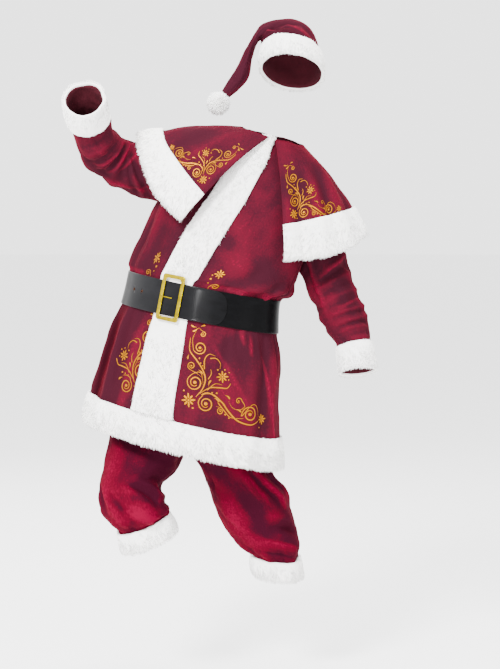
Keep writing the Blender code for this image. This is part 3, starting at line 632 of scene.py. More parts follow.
def texture_places(cloth: Cloth, u: Array, v: Array, wrap: bool) -> Array:
    """Texture places in metres: across the cloth from its first column, and down it.

    Args:
        cloth: The surface.
        u: Turns of the grid.
        v: Rows of the grid.
        wrap: Whether the last column joins the first.

    Returns:
        A place for each point, and with wrap one column more.
    """
    if wrap:
        u = np.concatenate([u, u[:, :1] + 1], axis=1)
        v = np.concatenate([v, v[:, :1]], axis=1)
    return np.stack([u * float(cloth.girths.mean()), -cloth.length(v)], -1)


def cloth_piece(name: str, cloth: Cloth, u: Array, v: Array, wrap: bool,
                materials: list[bpy.types.Material], keep: Array | None = None,
                moved: Callable[[Array], Array] | None = None, lift: Array | float = 0.0,
                shade: Array | None = None) -> bpy.types.Object:
    """A piece of cloth: a thin wall on a surface.

    Args:
        name: Name of the piece.
        cloth: The surface.
        u: Turns of its grid.
        v: Rows of its grid.
        wrap: Whether the last column joins the first.
        materials: Outer and inner material.
        keep: Which cells there are.
        moved: What is done to each face's points last.
        lift: How far the wall stands out of the surface.
        shade: Its painted light, if not as the surface says.

    Returns:
        The object.
    """
    outer, inner = cloth.at(u, v, CLOTH / 2 + lift), cloth.at(u, v, -CLOTH / 2 + lift)
    if moved:
        outer, inner = moved(outer), moved(inner)
    mesh = Mesh()
    shell(mesh, outer, inner, wrap, texture_places(cloth, u, v, wrap), keep,
          shade=cloth.shade(u, v) if shade is None else shade)
    return mesh.build(name, materials)


def declare(made: bpy.types.Object, node: str = "") -> bpy.types.Object:
    """Attach a piece to the root, which it rides on, and hide the CAD node that it stands for, if there is
    one.

    Args:
        made: The piece.
        node: Node that it replaces.

    Returns:
        The piece.
    """
    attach(made, "root")
    if node:
        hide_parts(node)
    return made


# ---------------------------------------------------------------- shader maths
class Value:
    """A number in a material that varies over the surface, with arithmetic on it."""

    def __init__(self, tree: "Tree", socket: bpy.types.NodeSocket) -> None:
        """Wrap an output socket."""
        self.tree, self.socket = tree, socket

    def maths(self, operation: str, *values: "Value | float", clamp: bool = False) -> "Value":
        """A Math node on this and other values.

        Args:
            operation: The node's operation.
            values: Its sockets, in order.
            clamp: Whether the result is held between 0 and 1.

        Returns:
            The node's result.
        """
        return self.tree.node("ShaderNodeMath", {"operation": operation, "use_clamp": clamp},
                              dict(enumerate(values)))

    def __add__(self, other: "Value | float") -> "Value":
        """Sum."""
        return self.maths("ADD", self, other)

    def __sub__(self, other: "Value | float") -> "Value":
        """Difference."""
        return self.maths("SUBTRACT", self, other)

    def __rsub__(self, other: float) -> "Value":
        """Difference from a number."""
        return self.maths("SUBTRACT", other, self)

    def __mul__(self, other: "Value | float") -> "Value":
        """Product."""
        return self.maths("MULTIPLY", self, other)

    __radd__, __rmul__ = __add__, __mul__

    def held(self) -> "Value":
        """This value, held between 0 and 1."""
        return self.maths("ADD", self, 0.0, clamp=True)

    def between(self, low: float, high: float) -> "Value":
        """0 below low, 1 above high, and smooth in between."""
        return self.tree.node("ShaderNodeMapRange", {"interpolation_type": "SMOOTHSTEP"},
                              {"Value": self, "From Min": low, "From Max": high})


Colour = tuple[float, float, float]


class Tree:
    """The nodes of one material."""

    def __init__(self, name: str) -> None:
        """Start a material with its shader and its output."""
        self.material = bpy.data.materials.new(name)
        self.material.use_nodes = True
        self.nodes, self.links = self.material.node_tree.nodes, self.material.node_tree.links
        self.shader = self.nodes["Principled BSDF"]

    def node(self, kind: str, settings: dict[str, object], sockets: dict, output: int | str = 0) -> Value:
        """Any node.

        Args:
            kind: Its type.
            settings: What is set on the node itself, first.
            sockets: Values or links of its sockets, by name or number.
            output: Which output is wanted.

        Returns:
            That output.
        """
        made = self.nodes.new(kind)
        for key, value in settings.items():
            setattr(made, key, value)
        for key, value in sockets.items():
            self.plug(made.inputs[key], value)
        return Value(self, made.outputs[output])

    def plug(self, socket: bpy.types.NodeSocket, value: "Value | float | Colour") -> None:
        """Link a value to a socket, or set the socket to a constant."""
        if isinstance(value, Value):
            self.links.new(value.socket, socket)
        else:
            socket.default_value = (*value, 1) if socket.type == "RGBA" else value

    def set(self, **sockets: "Value | float | Colour") -> None:
        """Set the shader's sockets, named with underscores for blanks."""
        for key, value in sockets.items():
            self.plug(self.shader.inputs[key.replace("_", " ")], value)

    def place(self, own: bool, scale: tuple[float, float, float] = (1, 1, 1)) -> Value:
        """Coordinates of the piece.

        Args:
            own: The piece's own texture places; otherwise the object's coordinates.
            scale: How much finer the pattern is along each axis.

        Returns:
            The coordinates.
        """
        if own:
            start = self.node("ShaderNodeUVMap", {"uv_map": "Cloth"}, {})
        else:
            start = self.node("ShaderNodeTexCoord", {}, {}, "Object")
        return self.node("ShaderNodeMapping", {}, {"Vector": start, "Scale": scale})

    def noise(self, place: Value, scale: float, detail: float = 3.0, rough: float = 0.55,
              twist: float = 0.0) -> Value:
        """Soft noise from 0 to 1."""
        return self.node("ShaderNodeTexNoise", {}, {"Vector": place, "Scale": scale, "Detail": detail,
                                                    "Roughness": rough, "Distortion": twist})

    def mix(self, share: "Value | float", low: "Value | Colour", high: "Value | Colour") -> Value:
        """A colour between two."""
        return self.node("ShaderNodeMix", {"data_type": "RGBA"}, {0: share, 6: low, 7: high}, 2)

    def bump(self, height: Value, distance: float, strength: float = 1.0) -> Value:
        """A normal from a height."""
        return self.node("ShaderNodeBump", {}, {"Height": height, "Distance": distance, "Strength": strength})

    def attribute(self, name: str) -> Value:
        """A number that the piece keeps for each point."""
        return self.node("ShaderNodeAttribute", {"attribute_name": name}, {}, "Fac")


# ---------------------------------------------------------------- finishes
@dataclass(frozen=True)
class Velvet:
    """Crushed velvet: a dark pile with crushed bright streaks of its own, painted sheen on crease ridges, and
    painted shade in troughs and in placed patches.
    """

    name: str
    dark: Colour
    middle: Colour
    bright: Colour
    glint: float = 0.5        # how much of the cloth the bright streaks take
    deep: Colour = (0.0075, 0.0001, 0.0012)   # painted shadow in the darkest folds and dark patches

    def make(self) -> bpy.types.Material:
        """The material."""
        tree = Tree(self.name)
        patches = tree.noise(tree.place(False), 6.5, 3.0, 0.5, 0.5)
        streaks = tree.noise(tree.place(True, (1.0, 0.22, 1.0)), 62.0, 4.0, 0.6, 0.8)
        crush = tree.noise(tree.place(True, (1.0, 0.7, 1.0)), 210.0, 3.0, 0.62, 0.5)
        pile = tree.noise(tree.place(True, (1.0, 0.5, 1.0)), 900.0, 2.0, 0.6)
        # The shade attribute is painted light: painted highlight on crease ridges, painted shade in troughs,
        # and placed strokes of painted sheen and shade.
        folds = tree.attribute("shade")
        tone_and_shade = (patches * 1.1 + streaks * 0.20 + crush * 0.45 - 0.38 + folds * 0.42).between(0.28, 0.74)
        lit = ((streaks - 0.5) * 0.9 + (crush - 0.5) * 3.3 + folds * 0.80
               + (patches - 0.5) * 1.3).between(0.9 - self.glint, 1.45)
        ground = tree.mix(tone_and_shade, self.dark, self.middle)
        colour = tree.mix((lit * 0.9).held(), ground, self.bright)
        colour = tree.mix((pile * 0.35).held(), colour, self.dark)
        # Painted shadow: the darkest folds and dark patches go to the deep colour.
        colour = tree.mix(((folds * -0.45 - 0.50).held() * 0.80), colour, self.deep)
        height = pile * 0.35 + streaks * 0.7 + crush * 0.9
        tree.set(Base_Color=colour, Roughness=(0.86 - lit * 0.16 - pile * 0.08).held(),
                 Specular_IOR_Level=0.01, Sheen_Weight=0.17, Sheen_Roughness=0.40,
                 Sheen_Tint=(0.50, 0.0, 0.03),
                 Normal=tree.bump(height, 0.0012, 0.6))
        return tree.material


@dataclass(frozen=True)
class VelvetBack:
    """The knitted back of the velvet, matt and even."""

    name: str
    colour: Colour

    def make(self) -> bpy.types.Material:
        """The material."""
        tree = Tree(self.name)
        knit = tree.node("ShaderNodeTexWave", {"wave_type": "BANDS", "bands_direction": "X"},
                         {"Vector": tree.place(True), "Scale": 180.0, "Distortion": 1.5, "Detail": 2.0})
        soft = tree.noise(tree.place(False), 30.0)
        shade = (soft * 0.6 + knit * 0.4).held()
        low = tuple(part * 0.55 for part in self.colour)
        tree.set(Base_Color=tree.mix(shade, low, self.colour), Roughness=(0.84 + soft * 0.12).held(),
                 Specular_IOR_Level=0.12, Normal=tree.bump(knit, 0.0006, 0.5))
        return tree.material


@dataclass(frozen=True)
class Plush:
    """Long pile: warm shadow at the roots and near white at the tips."""

    name: str
    root: Colour
    tip: Colour

    def make(self) -> bpy.types.Material:
        """The material."""
        tree = Tree(self.name)
        # The shade attribute is painted shade: darkest on the pompom's core and the band's body, and lighter
        # along each tuft to its tip.
        height = tree.attribute("shade")
        clumps = tree.noise(tree.place(False), 70.0, 3.0, 0.6)
        drift = tree.noise(tree.place(False), 14.0, 2.0, 0.5)
        share = (height * 0.70 + clumps * 0.45 + drift * 0.30 - 0.14).held()
        tree.set(Base_Color=tree.mix(share, self.root, self.tip), Roughness=(0.78 + clumps * 0.15).held(),
                 Specular_IOR_Level=0.2, Sheen_Weight=0.3, Sheen_Roughness=0.5, Sheen_Tint=(1.0, 0.98, 0.95),
                 Normal=tree.bump(clumps, 0.001, 0.3))
        return tree.material


@dataclass(frozen=True)
class GoldPrint:
    """Printed gold: burnt orange at the edge of a line, the print's outline, and bright along its middle,
    partly the print's own tone and partly painted highlight.
    """

    name: str
    middle: Colour
    edge: Colour

    def make(self) -> bpy.types.Material:
        """The material."""
        tree = Tree(self.name)
        # The shade attribute runs across each line: the print's dark outline at its edges, and painted
        # highlight along its raised middle.
        across = tree.attribute("shade")
        grain = tree.noise(tree.place(False), 420.0, 2.0)
        wear = tree.noise(tree.place(False), 45.0, 2.0)
        share = (across * 1.25 + (grain - 0.5) * 0.5 + (wear - 0.5) * 0.5).between(0.34, 1.20)
        tree.set(Base_Color=tree.mix(share, self.edge, self.middle), Roughness=(0.55 - share * 0.14).held(),
                 Metallic=0.45, Specular_IOR_Level=0.03, Normal=tree.bump(grain, 0.0002, 0.3))
        return tree.material


@dataclass(frozen=True)
class Leatherette:
    """Smooth black leatherette with a fine grain, scuffed a little, with painted highlight on the strap's
    upper layer.
    """

    name: str
    colour: Colour
    # worn: colour of the scuffs, and of the painted highlight on the strap's upper layer
    worn: Colour

    def make(self) -> bpy.types.Material:
        """The material."""
        tree = Tree(self.name)
        grain = tree.node("ShaderNodeTexVoronoi", {"feature": "SMOOTH_F1"},
                          {"Vector": tree.place(True), "Scale": 700.0})
        scuffs = tree.noise(tree.place(True, (0.35, 1.0, 1.0)), 55.0, 4.0, 0.65)
        clouds = tree.noise(tree.place(False), 12.0, 2.0)
        # The shade attribute is painted highlight: the strap's upper layer is made lighter, most on the left
        # of the buckle, and gets the coat gloss.
        top = tree.attribute("shade")
        share = ((scuffs - 0.45) * 1.2 + (clouds - 0.5) * 0.6 + top * 0.75).held()
        tree.set(Base_Color=tree.mix(share, self.colour, self.worn), Specular_IOR_Level=0.04,
                 Roughness=(0.22 + scuffs * 0.14 + clouds * 0.08).held(),
                 Coat_Weight=(top * (0.06 + clouds * 0.30)).held(), Coat_Roughness=0.14,
                 Normal=tree.bump(grain, 0.00012, 0.4))
        return tree.material


@dataclass(frozen=True)
class Brass:
    """Bright gold-coloured metal, polished, with fine wear."""

    name: str
    colour: Colour
    worn: Colour

    def make(self) -> bpy.types.Material:
        """The material."""
        tree = Tree(self.name)
        wear = tree.noise(tree.place(False), 60.0, 4.0, 0.65)
        lines = tree.noise(tree.place(False, (1.0, 1.0, 0.08)), 900.0, 2.0)
        share = ((wear - 0.42) * 2.4).held()
        tree.set(Base_Color=tree.mix(share, self.colour, self.worn), Metallic=1.0,
                 Roughness=(0.2 + wear * 0.12 + lines * 0.08).held(), Normal=tree.bump(lines, 0.0001, 0.15))
        return tree.material


@dataclass(frozen=True)
class Backdrop:
    """Matt, almost even paper."""

    name: str
    colour: Colour

    def make(self) -> bpy.types.Material:
        """The material."""
        tree = Tree(self.name)
        soft = tree.noise(tree.place(False), 3.0)
        low = tuple(part * 0.985 for part in self.colour)
        tree.set(Base_Color=tree.mix(soft, low, self.colour), Roughness=0.9, Specular_IOR_Level=0.1)
        return tree.material


class Looks:
    """All the suit's materials."""

    def __init__(self) -> None:
        """Make each finish once."""
        self.coat = Velvet("Burgundy velvet", (0.024, 0.0040, 0.0082), (0.064, 0.0036, 0.0105),
                           (0.145, 0.0, 0.0170)).make()
        self.legs = Velvet("Crimson velvet", (0.022, 0.0018, 0.0066), (0.066, 0.0009, 0.0074),
                           (0.128, 0.0, 0.0155), 0.6).make()
        self.lining = VelvetBack("Velvet back", (0.055, 0.006, 0.012)).make()
        self.plush = Plush("White plush", (0.70, 0.68, 0.65), (0.975, 0.97, 0.96)).make()
        self.gold = GoldPrint("Gold print", (0.29, 0.108, 0.0), (0.040, 0.0050, 0.0)).make()
        self.leather = Leatherette("Black leatherette", (0.0010, 0.0010, 0.0012),
                                   (0.0040, 0.0040, 0.0050)).make()
        self.rim = Leatherette("Hole edge", (0.055, 0.022, 0.012), (0.10, 0.045, 0.025)).make()
        self.brass = Brass("Gold-coloured metal", (0.38, 0.285, 0.0), (0.10, 0.062, 0.0)).make()
        self.paper = Backdrop("Pale paper", (0.93, 0.93, 0.93)).make()


# ---------------------------------------------------------------- plush pile
class Comb(Enum):
    """Which way a band's pile is brushed."""

    DOWN = 1       # towards the last row
    UP = -1        # towards the first row


@dataclass(frozen=True)
class PlushBand:
    """A band of long pile on a cloth, between two rows and two turns."""

    cloth: Cloth
    first: float
    last: float
    turns: tuple[float, float]
    wrap: bool
    tufts: int
    seed: int
    full: float = PLUSH
    edge: float = 0.006
    comb: Comb = Comb.DOWN
    length: float = 0.014
    width: float = 0.0011
    cell: float = 0.006
    lean: float = 0.0         # how far the pile is brushed sideways
    profile: Callable[[Array, Array], Array] | None = None
    bare: tuple[float, float] | None = None   # rows with no tufts

    def height(self, u: Array, v: Array) -> Array:
        """Height of the band's body: full in the middle and lower at its edges."""
        if self.profile:
            return self.profile(u, v)
        part = np.clip((v - self.first) / (self.last - self.first), 0, 1)
        return self.edge + (self.full - self.edge) * np.sin(math.pi * part) ** 0.5

    def grid(self) -> tuple[Array, Array]:
        """Turns and rows of the band's body."""
        cloth = self.cloth
        deep = float(cloth.length(np.array(self.last)) - cloth.length(np.array(self.first)))
        middle = (self.first + self.last) / 2
        wide = (self.turns[1] - self.turns[0]) * float(cloth.girth(np.array(middle)))
        down, across = max(round(deep / self.cell), 4), max(round(wide / self.cell), 4)
        u = np.linspace(*self.turns, across + 1)
        v = np.linspace(self.first, self.last, down + 1)
        if self.wrap:
            u = u[:-1]
        return np.meshgrid(u, v)

    def roots(self) -> tuple[Array, Array]:
        """Turns and rows of the tufts, evenly scattered."""
        draw = np.random.default_rng(self.seed)
        count = self.tufts
        index = np.arange(count)
        u = (index * SPREAD[0] + draw.uniform(0, 0.012, count)) % 1
        v = (index * SPREAD[1] + draw.uniform(0, 0.012, count)) % 1
        u = self.turns[0] + u * (self.turns[1] - self.turns[0])
        v = self.first + v * (self.last - self.first)
        free = np.ones(count, bool) if self.bare is None else (v < self.bare[0]) | (v > self.bare[1])
        return u[free], v[free]

    def pile(self, mesh: Mesh) -> None:
        """Add the tufts."""
        draw = np.random.default_rng(self.seed + 1)
        cloth, (u, v) = self.cloth, self.roots()
        count = len(u)
        tall = self.height(u, v)
        free = np.clip(tall / self.full, 0.25, 1.0)
        root = cloth.at(u, v, CLOTH / 2 + tall * 0.66)
        out = cloth.outward(u, v)
        run = unit(cloth.base(u, v + STEP) - cloth.base(u, v - STEP)) * self.comb.value
        across = unit(cloth.base(u + STEP, v) - cloth.base(u - STEP, v))
        x, y = u * float(cloth.girths.mean()), cloth.length(v)
        drift = (np.sin(x * 41 + y * 23 + self.seed) + np.sin(x * 17 - y * 61 + 1.3 * self.seed)
                 + 0.7 * np.sin(x * 97 + y * 11)) * 0.24
        angle = self.lean + drift + draw.normal(0, 0.16, count)
        part = (v - self.first) / (self.last - self.first)
        part = part if self.comb is Comb.DOWN else 1 - part
        forward = np.clip(-0.45 + part * 5.0, -0.45, 1.0)
        comb = run * (np.cos(angle) * forward)[:, None] + across * np.sin(angle)[:, None]
        long = self.length * free * draw.uniform(0.7, 1.30, count)
        rise = draw.uniform(0.16, 0.46, count)
        mid = root + (out * rise[:, None] + comb * 0.62) * (long * 0.5)[:, None]
        tip = mid + (out * (rise * 0.28)[:, None] + comb * 0.98) * (long * 0.5)[:, None]
        if not self.wrap:
            side = (u - self.turns[0]) / (self.turns[1] - self.turns[0])
            splay = (np.clip((side - 0.88) * 8, 0, 1) - np.clip((0.12 - side) * 8, 0, 1)) * 0.5
            tip = tip + across * (splay * long)[:, None]
        tip, mid = self.clump(root, mid, tip, draw)
        add_tufts(mesh, root, mid, tip, out, self.width * draw.uniform(0.7, 1.3, count), draw)

    def clump(self, root: Array, mid: Array, tip: Array, draw: np.random.Generator) -> tuple[Array, Array]:
        """Draw tufts together into locks.

        Args:
            root: Roots.
            mid: Middles.
            tip: Tips.
            draw: Source of the scatter.

        Returns:
            Tips and middles, moved.
        """
        locks = max(len(root) // 14, 1)
        chosen = draw.permutation(len(root))[:locks]
        nearest = np.empty(len(root), int)
        for start in range(0, len(root), 2000):
            part = tip[start:start + 2000]
            apart = ((part[:, None, :] - tip[chosen][None, :, :]) ** 2).sum(-1)
            nearest[start:start + 2000] = chosen[np.argmin(apart, axis=1)]
        pull = draw.uniform(0.05, 0.40, len(root))[:, None]
        return tip + (tip[nearest] - tip) * pull, mid + (mid[nearest] - mid) * pull * 0.35

    def body(self, mesh: Mesh) -> None:
        """Add the band's solid body, on which the tufts stand."""
        u, v = self.grid()
        base = WALL / 2 + TOUCH
        lumps = Unevenness(0.0007, 0.02, self.seed).rise(u, v, self.cloth)
        over = self.cloth.at(u, v, base + self.height(u, v) * 0.80 + lumps)
        under = self.cloth.at(u, v, base)
        # The body is painted in the shade that falls under the tufts.
        shell(mesh, over, under, self.wrap, texture_places(self.cloth, u, v, self.wrap), looks=(0, 0),
              shade=0.55)

    def build(self, name: str, looks: Looks) -> bpy.types.Object:
        """Make the band.

        Args:
            name: Name of the piece.
            looks: The materials.

        Returns:
            The object.
        """
        mesh = Mesh()
        self.body(mesh)
        self.pile(mesh)
        return mesh.build(name, [looks.plush])


def add_tufts(mesh: Mesh, root: Array, mid: Array, tip: Array, out: Array, width: Array,
              draw: np.random.Generator) -> None:
    """Add bent, tapering tufts of three sides.

    Args:
        mesh: Where they go.
        root: Roots.
        mid: Middles.
        tip: Tips.
        out: Directions out of the cloth.
        width: Half the width of each at its root.
        draw: Source of their turns.
    """
    count = len(root)
    along = unit(mid - root)
    one = unit(np.cross(along, out + 1e-3))
    two = np.cross(along, one)
    turn = draw.uniform(0, 2 * math.pi, count)
    points = np.empty((count, 7, 3))
    for k in range(3):
        angle = turn + 2 * math.pi * k / 3
        ring = one * np.cos(angle)[:, None] + two * np.sin(angle)[:, None]
        points[:, k] = root + ring * width[:, None]
        points[:, 3 + k] = mid + ring * (width * 0.72)[:, None]
    points[:, 6] = tip
    start = np.arange(count)[:, None] * 7
    quads = np.concatenate([start + np.array([k, (k + 1) % 3, 3 + (k + 1) % 3, 3 + k]) for k in range(3)])
    triangles = np.concatenate([start + np.array([3 + k, 3 + (k + 1) % 3, 6]) for k in range(3)])
    # Painted shade along each tuft: dark at its root and white at its tip.
    shade = np.tile(np.array([0.35] * 3 + [0.75] * 3 + [1.0]), count)
    mesh.add(points, [(quads, np.zeros((len(quads), 4, 2)), 0),
                      (triangles, np.zeros((len(triangles), 3, 2)), 0)], shade)


# ---------------------------------------------------------------- printed scrolls
class Taper(Enum):
    """How a printed line's width runs from its start to its end."""

    LINE = "thin at both ends"
    TAIL = "thick at the start and thin at the end"
    LEAF = "a drop with its round end last"


@dataclass(frozen=True)
class Stroke:
    """A printed line through points that are given in metres across and up from the motif's corner."""

    points: tuple[tuple[float, float], ...]
    width: float
    taper: Taper = Taper.LINE

    def widths(self, part: Array) -> Array:
        """Half the width at each part of the line."""
        if self.taper is Taper.LINE:
            shape = 0.30 + 0.70 * np.sin(math.pi * part) ** 0.8
        elif self.taper is Taper.TAIL:
            shape = np.minimum(1.0, part * 9 + 0.5) * (1 - part) ** 0.7 + 0.15
        else:
            shape = np.sin(math.pi * np.clip(part, 0, 1) ** 1.9) ** 0.8
        ends = np.clip(np.minimum(part, 1 - part) * 30, 0.12, 1.0)
        return self.width / 2 * shape * ends


@dataclass(frozen=True)
class Motif:
    """Scrolls, flowers and dots in metres across and up from a corner."""

    far: bool = True          # whether the long arm along the hem is there

    def spiral(self, x: float, y: float, radius: float, start: float, turns: float,
               lead: tuple[tuple[float, float], ...] = (), width: float = 0.0042) -> list[Stroke]:
        """A spiral that winds in to a dot.

        Args:
            x: Its middle, across.
            y: Its middle, up.
            radius: Its radius.
            start: Direction of its outer end, in turns.
            turns: How far it winds; below 0 it winds the other way.
            lead: Points of the stem that runs into it.
            width: Width of its line.

        Returns:
            Its line and its dot.
        """
        steps = np.linspace(0, 1, 22)
        reach = radius * (1 - 0.62 * steps ** 0.9)
        angle = 2 * math.pi * (start + turns * steps)
        coil = tuple((x + float(r * math.cos(a)), y + float(r * math.sin(a))) for r, a in zip(reach, angle))
        return [Stroke(lead + coil, width), self.dot(x, y, radius * 0.23)]

    def dot(self, x: float, y: float, radius: float) -> Stroke:
        """A round dot, as a very short and wide line."""
        return Stroke(((x - radius, y), (x, y), (x + radius, y)), radius * 2.3)

    def leaf(self, x: float, y: float, length: float, turn: float, width: float = 0.006,
             bow: float = 0.2) -> Stroke:
        """A bowed drop that starts at a point and runs in a direction given in turns."""
        angle = 2 * math.pi * turn
        ahead, aside = (math.cos(angle), math.sin(angle)), (-math.sin(angle), math.cos(angle))
        spots = [(0.0, 0.0), (0.35, bow * 0.8), (0.7, bow), (1.0, bow * 0.5)]
        return Stroke(tuple((x + length * (f * ahead[0] + s * aside[0]),
                             y + length * (f * ahead[1] + s * aside[1])) for f, s in spots),
                      width, Taper.LEAF)

    def flower(self, x: float, y: float, radius: float, petals: int = 8) -> list[Stroke]:
        """A flower of pointed petals round a dot."""
        made = [self.dot(x, y, radius * 0.17)]
        for k in range(petals):
            angle = 2 * math.pi * (k + 0.25) / petals
            near, past = radius * 0.20, radius * (1.0 if k % 2 == 0 else 0.86)
            made.append(Stroke(tuple((x + r * math.cos(angle), y + r * math.sin(angle))
                                     for r in (near, near + (past - near) * 0.5, past)), radius * 0.34))
        return made

    def strokes(self) -> list[Stroke]:
        """All the motif's lines."""
        made = self.flower(0.036, 0.064, 0.019)
        made += self.spiral(0.082, 0.063, 0.021, 0.36, 1.55, ((0.105, 0.086), (0.090, 0.090), (0.074, 0.087)))
        made += [Stroke(((0.062, 0.086), (0.085, 0.105), (0.110, 0.110), (0.130, 0.112), (0.138, 0.126)),
                        0.0040),
                 Stroke(((0.080, 0.098), (0.098, 0.118), (0.118, 0.118)), 0.0026, Taper.TAIL),
                 self.leaf(0.082, 0.108, 0.018, 0.19, 0.0062), self.leaf(0.100, 0.082, 0.018, 0.90, 0.0066),
                 self.leaf(0.048, 0.146, 0.016, 0.88, 0.0060)]
        made += self.flower(0.114, 0.139, 0.016)
        made += [self.dot(x, y, r) for x, y, r in (
            (0.050, 0.046, 0.0028), (0.020, 0.086, 0.0022), (0.082, 0.092, 0.0018), (0.094, 0.094, 0.0022),
            (0.106, 0.095, 0.0026), (0.099, 0.155, 0.0024), (0.117, 0.158, 0.0020), (0.129, 0.153, 0.0018),
            (0.131, 0.134, 0.0018))]
        made += self.spiral(0.045, 0.112, 0.021, 0.42, 1.5, ((0.070, 0.100), (0.058, 0.138), (0.040, 0.136)))
        made += self.spiral(0.029, 0.153, 0.011, 0.75, -1.35, ((0.062, 0.128), (0.046, 0.136)), 0.0034)
        made += self.spiral(0.044, 0.203, 0.018, 0.55, 1.45, ((0.030, 0.248), (0.022, 0.224)), 0.0042)
        made += self.spiral(0.047, 0.240, 0.008, 0.30, -1.2, ((0.028, 0.250), (0.037, 0.254)), 0.0030)
        made += [Stroke(((0.016, 0.226), (0.018, 0.192), (0.040, 0.170), (0.060, 0.148), (0.071, 0.124),
                         (0.067, 0.098), (0.053, 0.075)), 0.0050),
                 Stroke(((0.064, 0.150), (0.061, 0.176), (0.071, 0.191), (0.087, 0.189)), 0.0038, Taper.TAIL),
                 Stroke(((0.074, 0.180), (0.090, 0.183), (0.103, 0.172), (0.104, 0.157)), 0.0030, Taper.TAIL),
                 Stroke(((0.078, 0.126), (0.084, 0.142), (0.080, 0.154)), 0.0028, Taper.TAIL),
                 self.leaf(0.018, 0.182, 0.015, 0.74, 0.0056, -0.1),
                 self.leaf(0.033, 0.256, 0.020, 0.60, 0.0060),
                 self.leaf(0.030, 0.256, 0.018, 0.46, 0.0052), self.leaf(0.038, 0.258, 0.014, 0.05, 0.0050),
                 self.dot(0.047, 0.176, 0.0022), self.dot(0.052, 0.164, 0.0020),
                 self.dot(0.058, 0.158, 0.0016)]
        if self.far:
            made += self.spiral(0.200, 0.054, 0.021, 0.55, -1.5,
                                ((0.232, 0.040), (0.226, 0.068), (0.204, 0.080)))
            made += self.spiral(0.122, 0.051, 0.009, 0.20, 1.3, ((0.108, 0.062),), 0.0032)
            made += self.spiral(0.166, 0.084, 0.009, 0.02, 0.9,
                                ((0.138, 0.082), (0.150, 0.066), (0.170, 0.061), (0.184, 0.072)), 0.0032)
            made += [Stroke(((0.066, 0.083), (0.080, 0.091), (0.100, 0.088), (0.124, 0.073), (0.144, 0.053),
                             (0.170, 0.035), (0.206, 0.029), (0.233, 0.042)), 0.0052),
                     Stroke(((0.112, 0.072), (0.134, 0.052), (0.152, 0.040), (0.186, 0.042)), 0.0036,
                            Taper.TAIL),
                     self.leaf(0.160, 0.062, 0.018, 0.93, 0.0064),
                     self.leaf(0.126, 0.094, 0.018, 0.90, 0.0056),
                     self.dot(0.136, 0.045, 0.0026), self.dot(0.147, 0.038, 0.0022),
                     self.dot(0.240, 0.026, 0.0018)]
            made += self.flower(0.247, 0.046, 0.013)
        return made

    def bud(self) -> list[Stroke]:
        """The small flower and curl above the belt."""
        made = self.flower(0.046, 0.052, 0.014)
        made += self.spiral(0.056, 0.012, 0.012, 0.55, -1.2, ((0.043, -0.004), (0.041, 0.006)), 0.0036)
        made += [self.dot(0.031, 0.034, 0.0028), self.dot(0.032, 0.021, 0.0022),
                 self.dot(0.030, 0.045, 0.0018)]
        return made


@dataclass(frozen=True)
class Ground:
    """Where a motif lies on a cloth: its corner, and the way it runs."""

    cloth: Cloth
    turn: float
    row: float
    side: int                # +1 towards rising turns
    scale: float = 1.0
    lift: float = CLOTH / 2 + 0.0002

    def turn_at(self, across: Array, row: Array) -> Array:
        """Turn at a distance across from the corner's turn, between two measured rows."""
        spot = np.clip(np.interp(row, self.cloth.levels, np.arange(len(self.cloth.levels))),
                       0, len(self.cloth.levels) - 1.001)
        low = spot.astype(int)
        part = spot - low
        total = 0.0
        for shift, share in ((0, 1 - part), (1, part)):
            found = []
            for a, r in zip(across, low + shift):
                arcs = self.cloth.arcs[r]
                lap = math.floor(self.turn)
                start = np.interp(self.turn - lap, self.cloth.turns, arcs) + lap * arcs[-1] + self.side * a
                lap, rest = divmod(start, arcs[-1])
                found.append(lap + np.interp(rest, arcs, self.cloth.turns))
            total = total + share * np.array(found)
        return total

    def at(self, across: Array, up: Array, out: Array | float = 0.0) -> Array:
        """Points on the cloth.

        Args:
            across: Metres across from the corner.
            up: Metres up from it.
            out: Distance above the print's own level.

        Returns:
            Points.
        """
        across, up = across * self.scale, up * self.scale
        row = self.cloth.row_of(float(self.cloth.length(np.array(self.row))) - up)
        return self.cloth.at(self.turn_at(across, row), row, self.lift + out)


def print_strokes(name: str, ground: Ground, strokes: list[Stroke], looks: Looks) -> bpy.types.Object:
    """A print as thin raised lines on a cloth.

    Args:
        name: Name of the piece.
        ground: Where it lies.
        strokes: Its lines.
        looks: The materials.

    Returns:
        The object.
    """
    mesh = Mesh()
    for number, stroke in enumerate(strokes):
        knots = np.array(stroke.points)
        length = float(np.linalg.norm(np.diff(knots, axis=0), axis=1).sum())
        count = int(min(max(length * ground.scale / 0.0021, 7), 80))
        path = spline(knots, np.linspace(0, len(knots) - 1, count + 1))
        along = unit(np.gradient(path, axis=0))
        side = np.stack([-along[:, 1], along[:, 0]], -1)
        half = stroke.widths(np.linspace(0, 1, count + 1)) * 1.22
        level_out = (number % 5) * 0.00004
        rows = []
        for share, out in ((-1.0, 0.0), (-0.55, 0.00018), (0.0, 0.00028), (0.55, 0.00018), (1.0, 0.0)):
            spot = path + side * (half * share)[:, None]
            rows.append(ground.at(spot[:, 0], spot[:, 1], out + level_out))
        under = [ground.at(*(path + side * (half * share)[:, None]).T, -0.00015)
                 for share in (-1.0, 0.0, 1.0)]
        over = np.stack(rows, axis=1)
        below = np.stack([under[0], (under[0] + under[1]) / 2, under[1], (under[1] + under[2]) / 2, under[2]],
                         axis=1)
        if ground.side > 0:
            over, below = over[:, ::-1], below[:, ::-1]
        # shade across a line: the outline at its edges and painted highlight along its middle
        shade = np.broadcast_to(np.array([0.0, 0.75, 1.0, 0.75, 0.0]), over.shape[:2])
        places = np.stack(np.meshgrid(np.arange(5.0), np.arange(count + 1.0)), -1)
        shell(mesh, over, below, False, places, looks=(0, 0), shade=shade)
    return mesh.build(name, [looks.gold])


